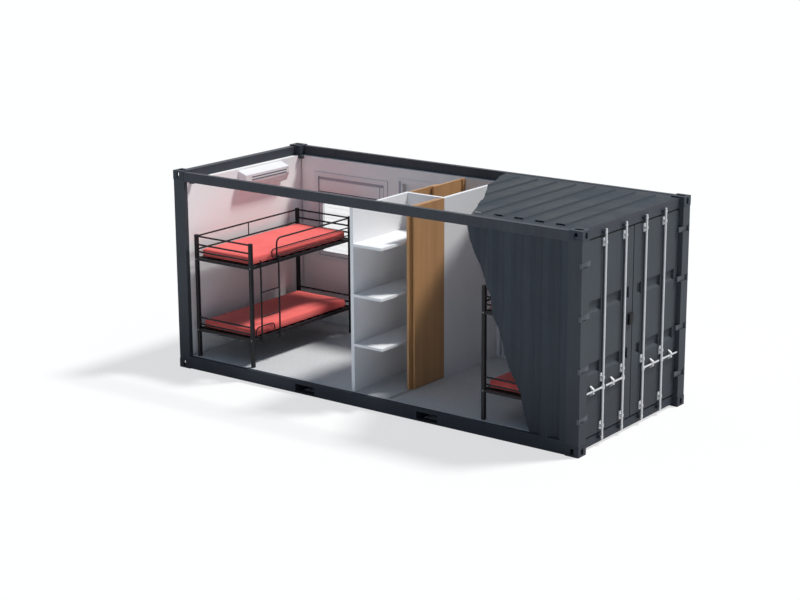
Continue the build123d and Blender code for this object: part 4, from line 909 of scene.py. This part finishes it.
bpy.ops.object.select_all(action="DESELECT")
bpy.ops.mesh.primitive_plane_add(size=160, location=(0, 0, 0))
studio_floor = bpy.context.object
studio_floor.name = "studio_floor"
pale_floor, shade, surface = new_finish("studio_floor")
surface.inputs["Roughness"].default_value = 0.95
surface.inputs["Specular IOR Level"].default_value = 0.0
surface.inputs["Base Color"].default_value = (0.90, 0.90, 0.90, 1)
white = shade.add("ShaderNodeEmission", None, {"Color": (1.0, 1.0, 1.0, 1), "Strength": 1.0})
floor_whiteness = 0.66
share = seen_share(shade) * floor_whiteness
lit = Shade(shade.tree, surface.outputs[0])
mix = shade.add("ShaderNodeMixShader", None, {0: share, 1: lit, 2: white})
link(mix, shade.tree.nodes["Material Output"], "Surface")
studio_floor.data.materials.append(pale_floor)

world = bpy.data.worlds.new("studio")
world.use_nodes = True
bpy.context.scene.world = world
shade = Shade(world.node_tree)
fill = world.node_tree.nodes["Background"]
fill.inputs["Color"].default_value = (0.60, 0.77, 1.0, 1)
fill.inputs["Strength"].default_value = 0.26
plain = shade.add("ShaderNodeBackground", None, {"Color": (1, 1, 1, 1), "Strength": 1.0})
lit = Shade(shade.tree, fill.outputs[0])
mix = shade.add("ShaderNodeMixShader", None, {0: seen_share(shade), 1: lit, 2: plain})
link(mix, world.node_tree.nodes["World Output"], "Surface")

sun_data = bpy.data.lights.new("soft_key", "SUN")
sun_data.energy = 3.4
sun_data.angle = math.radians(10)
sun_data.color = (1.0, 0.98, 0.95)
sun = bpy.data.objects.new("soft_key", sun_data)
bpy.context.collection.objects.link(sun)
sun.rotation_euler = Vector((0.974, 1.167, 2.591)).to_track_quat("Z", "Y").to_euler()

camera_data = bpy.data.cameras.new("camera")
camera_data.sensor_width = 36.0
camera_data.lens = 84.085
camera_data.shift_x = -0.0503
camera_data.shift_y = -0.0041
camera_data.clip_end = 200
camera = bpy.data.objects.new("camera", camera_data)
bpy.context.collection.objects.link(camera)
camera.location = (13.29, -18.09, 7.044)
azimuth, elevation = math.radians(35.777), math.radians(14.734)
back = Vector(
    (
        math.sin(azimuth) * math.cos(elevation),
        -math.cos(azimuth) * math.cos(elevation),
        math.sin(elevation),
    )
)
camera.rotation_euler = back.to_track_quat("Z", "Y").to_euler()
bpy.context.scene.camera = camera
bpy.context.scene.view_settings.view_transform = "Standard"
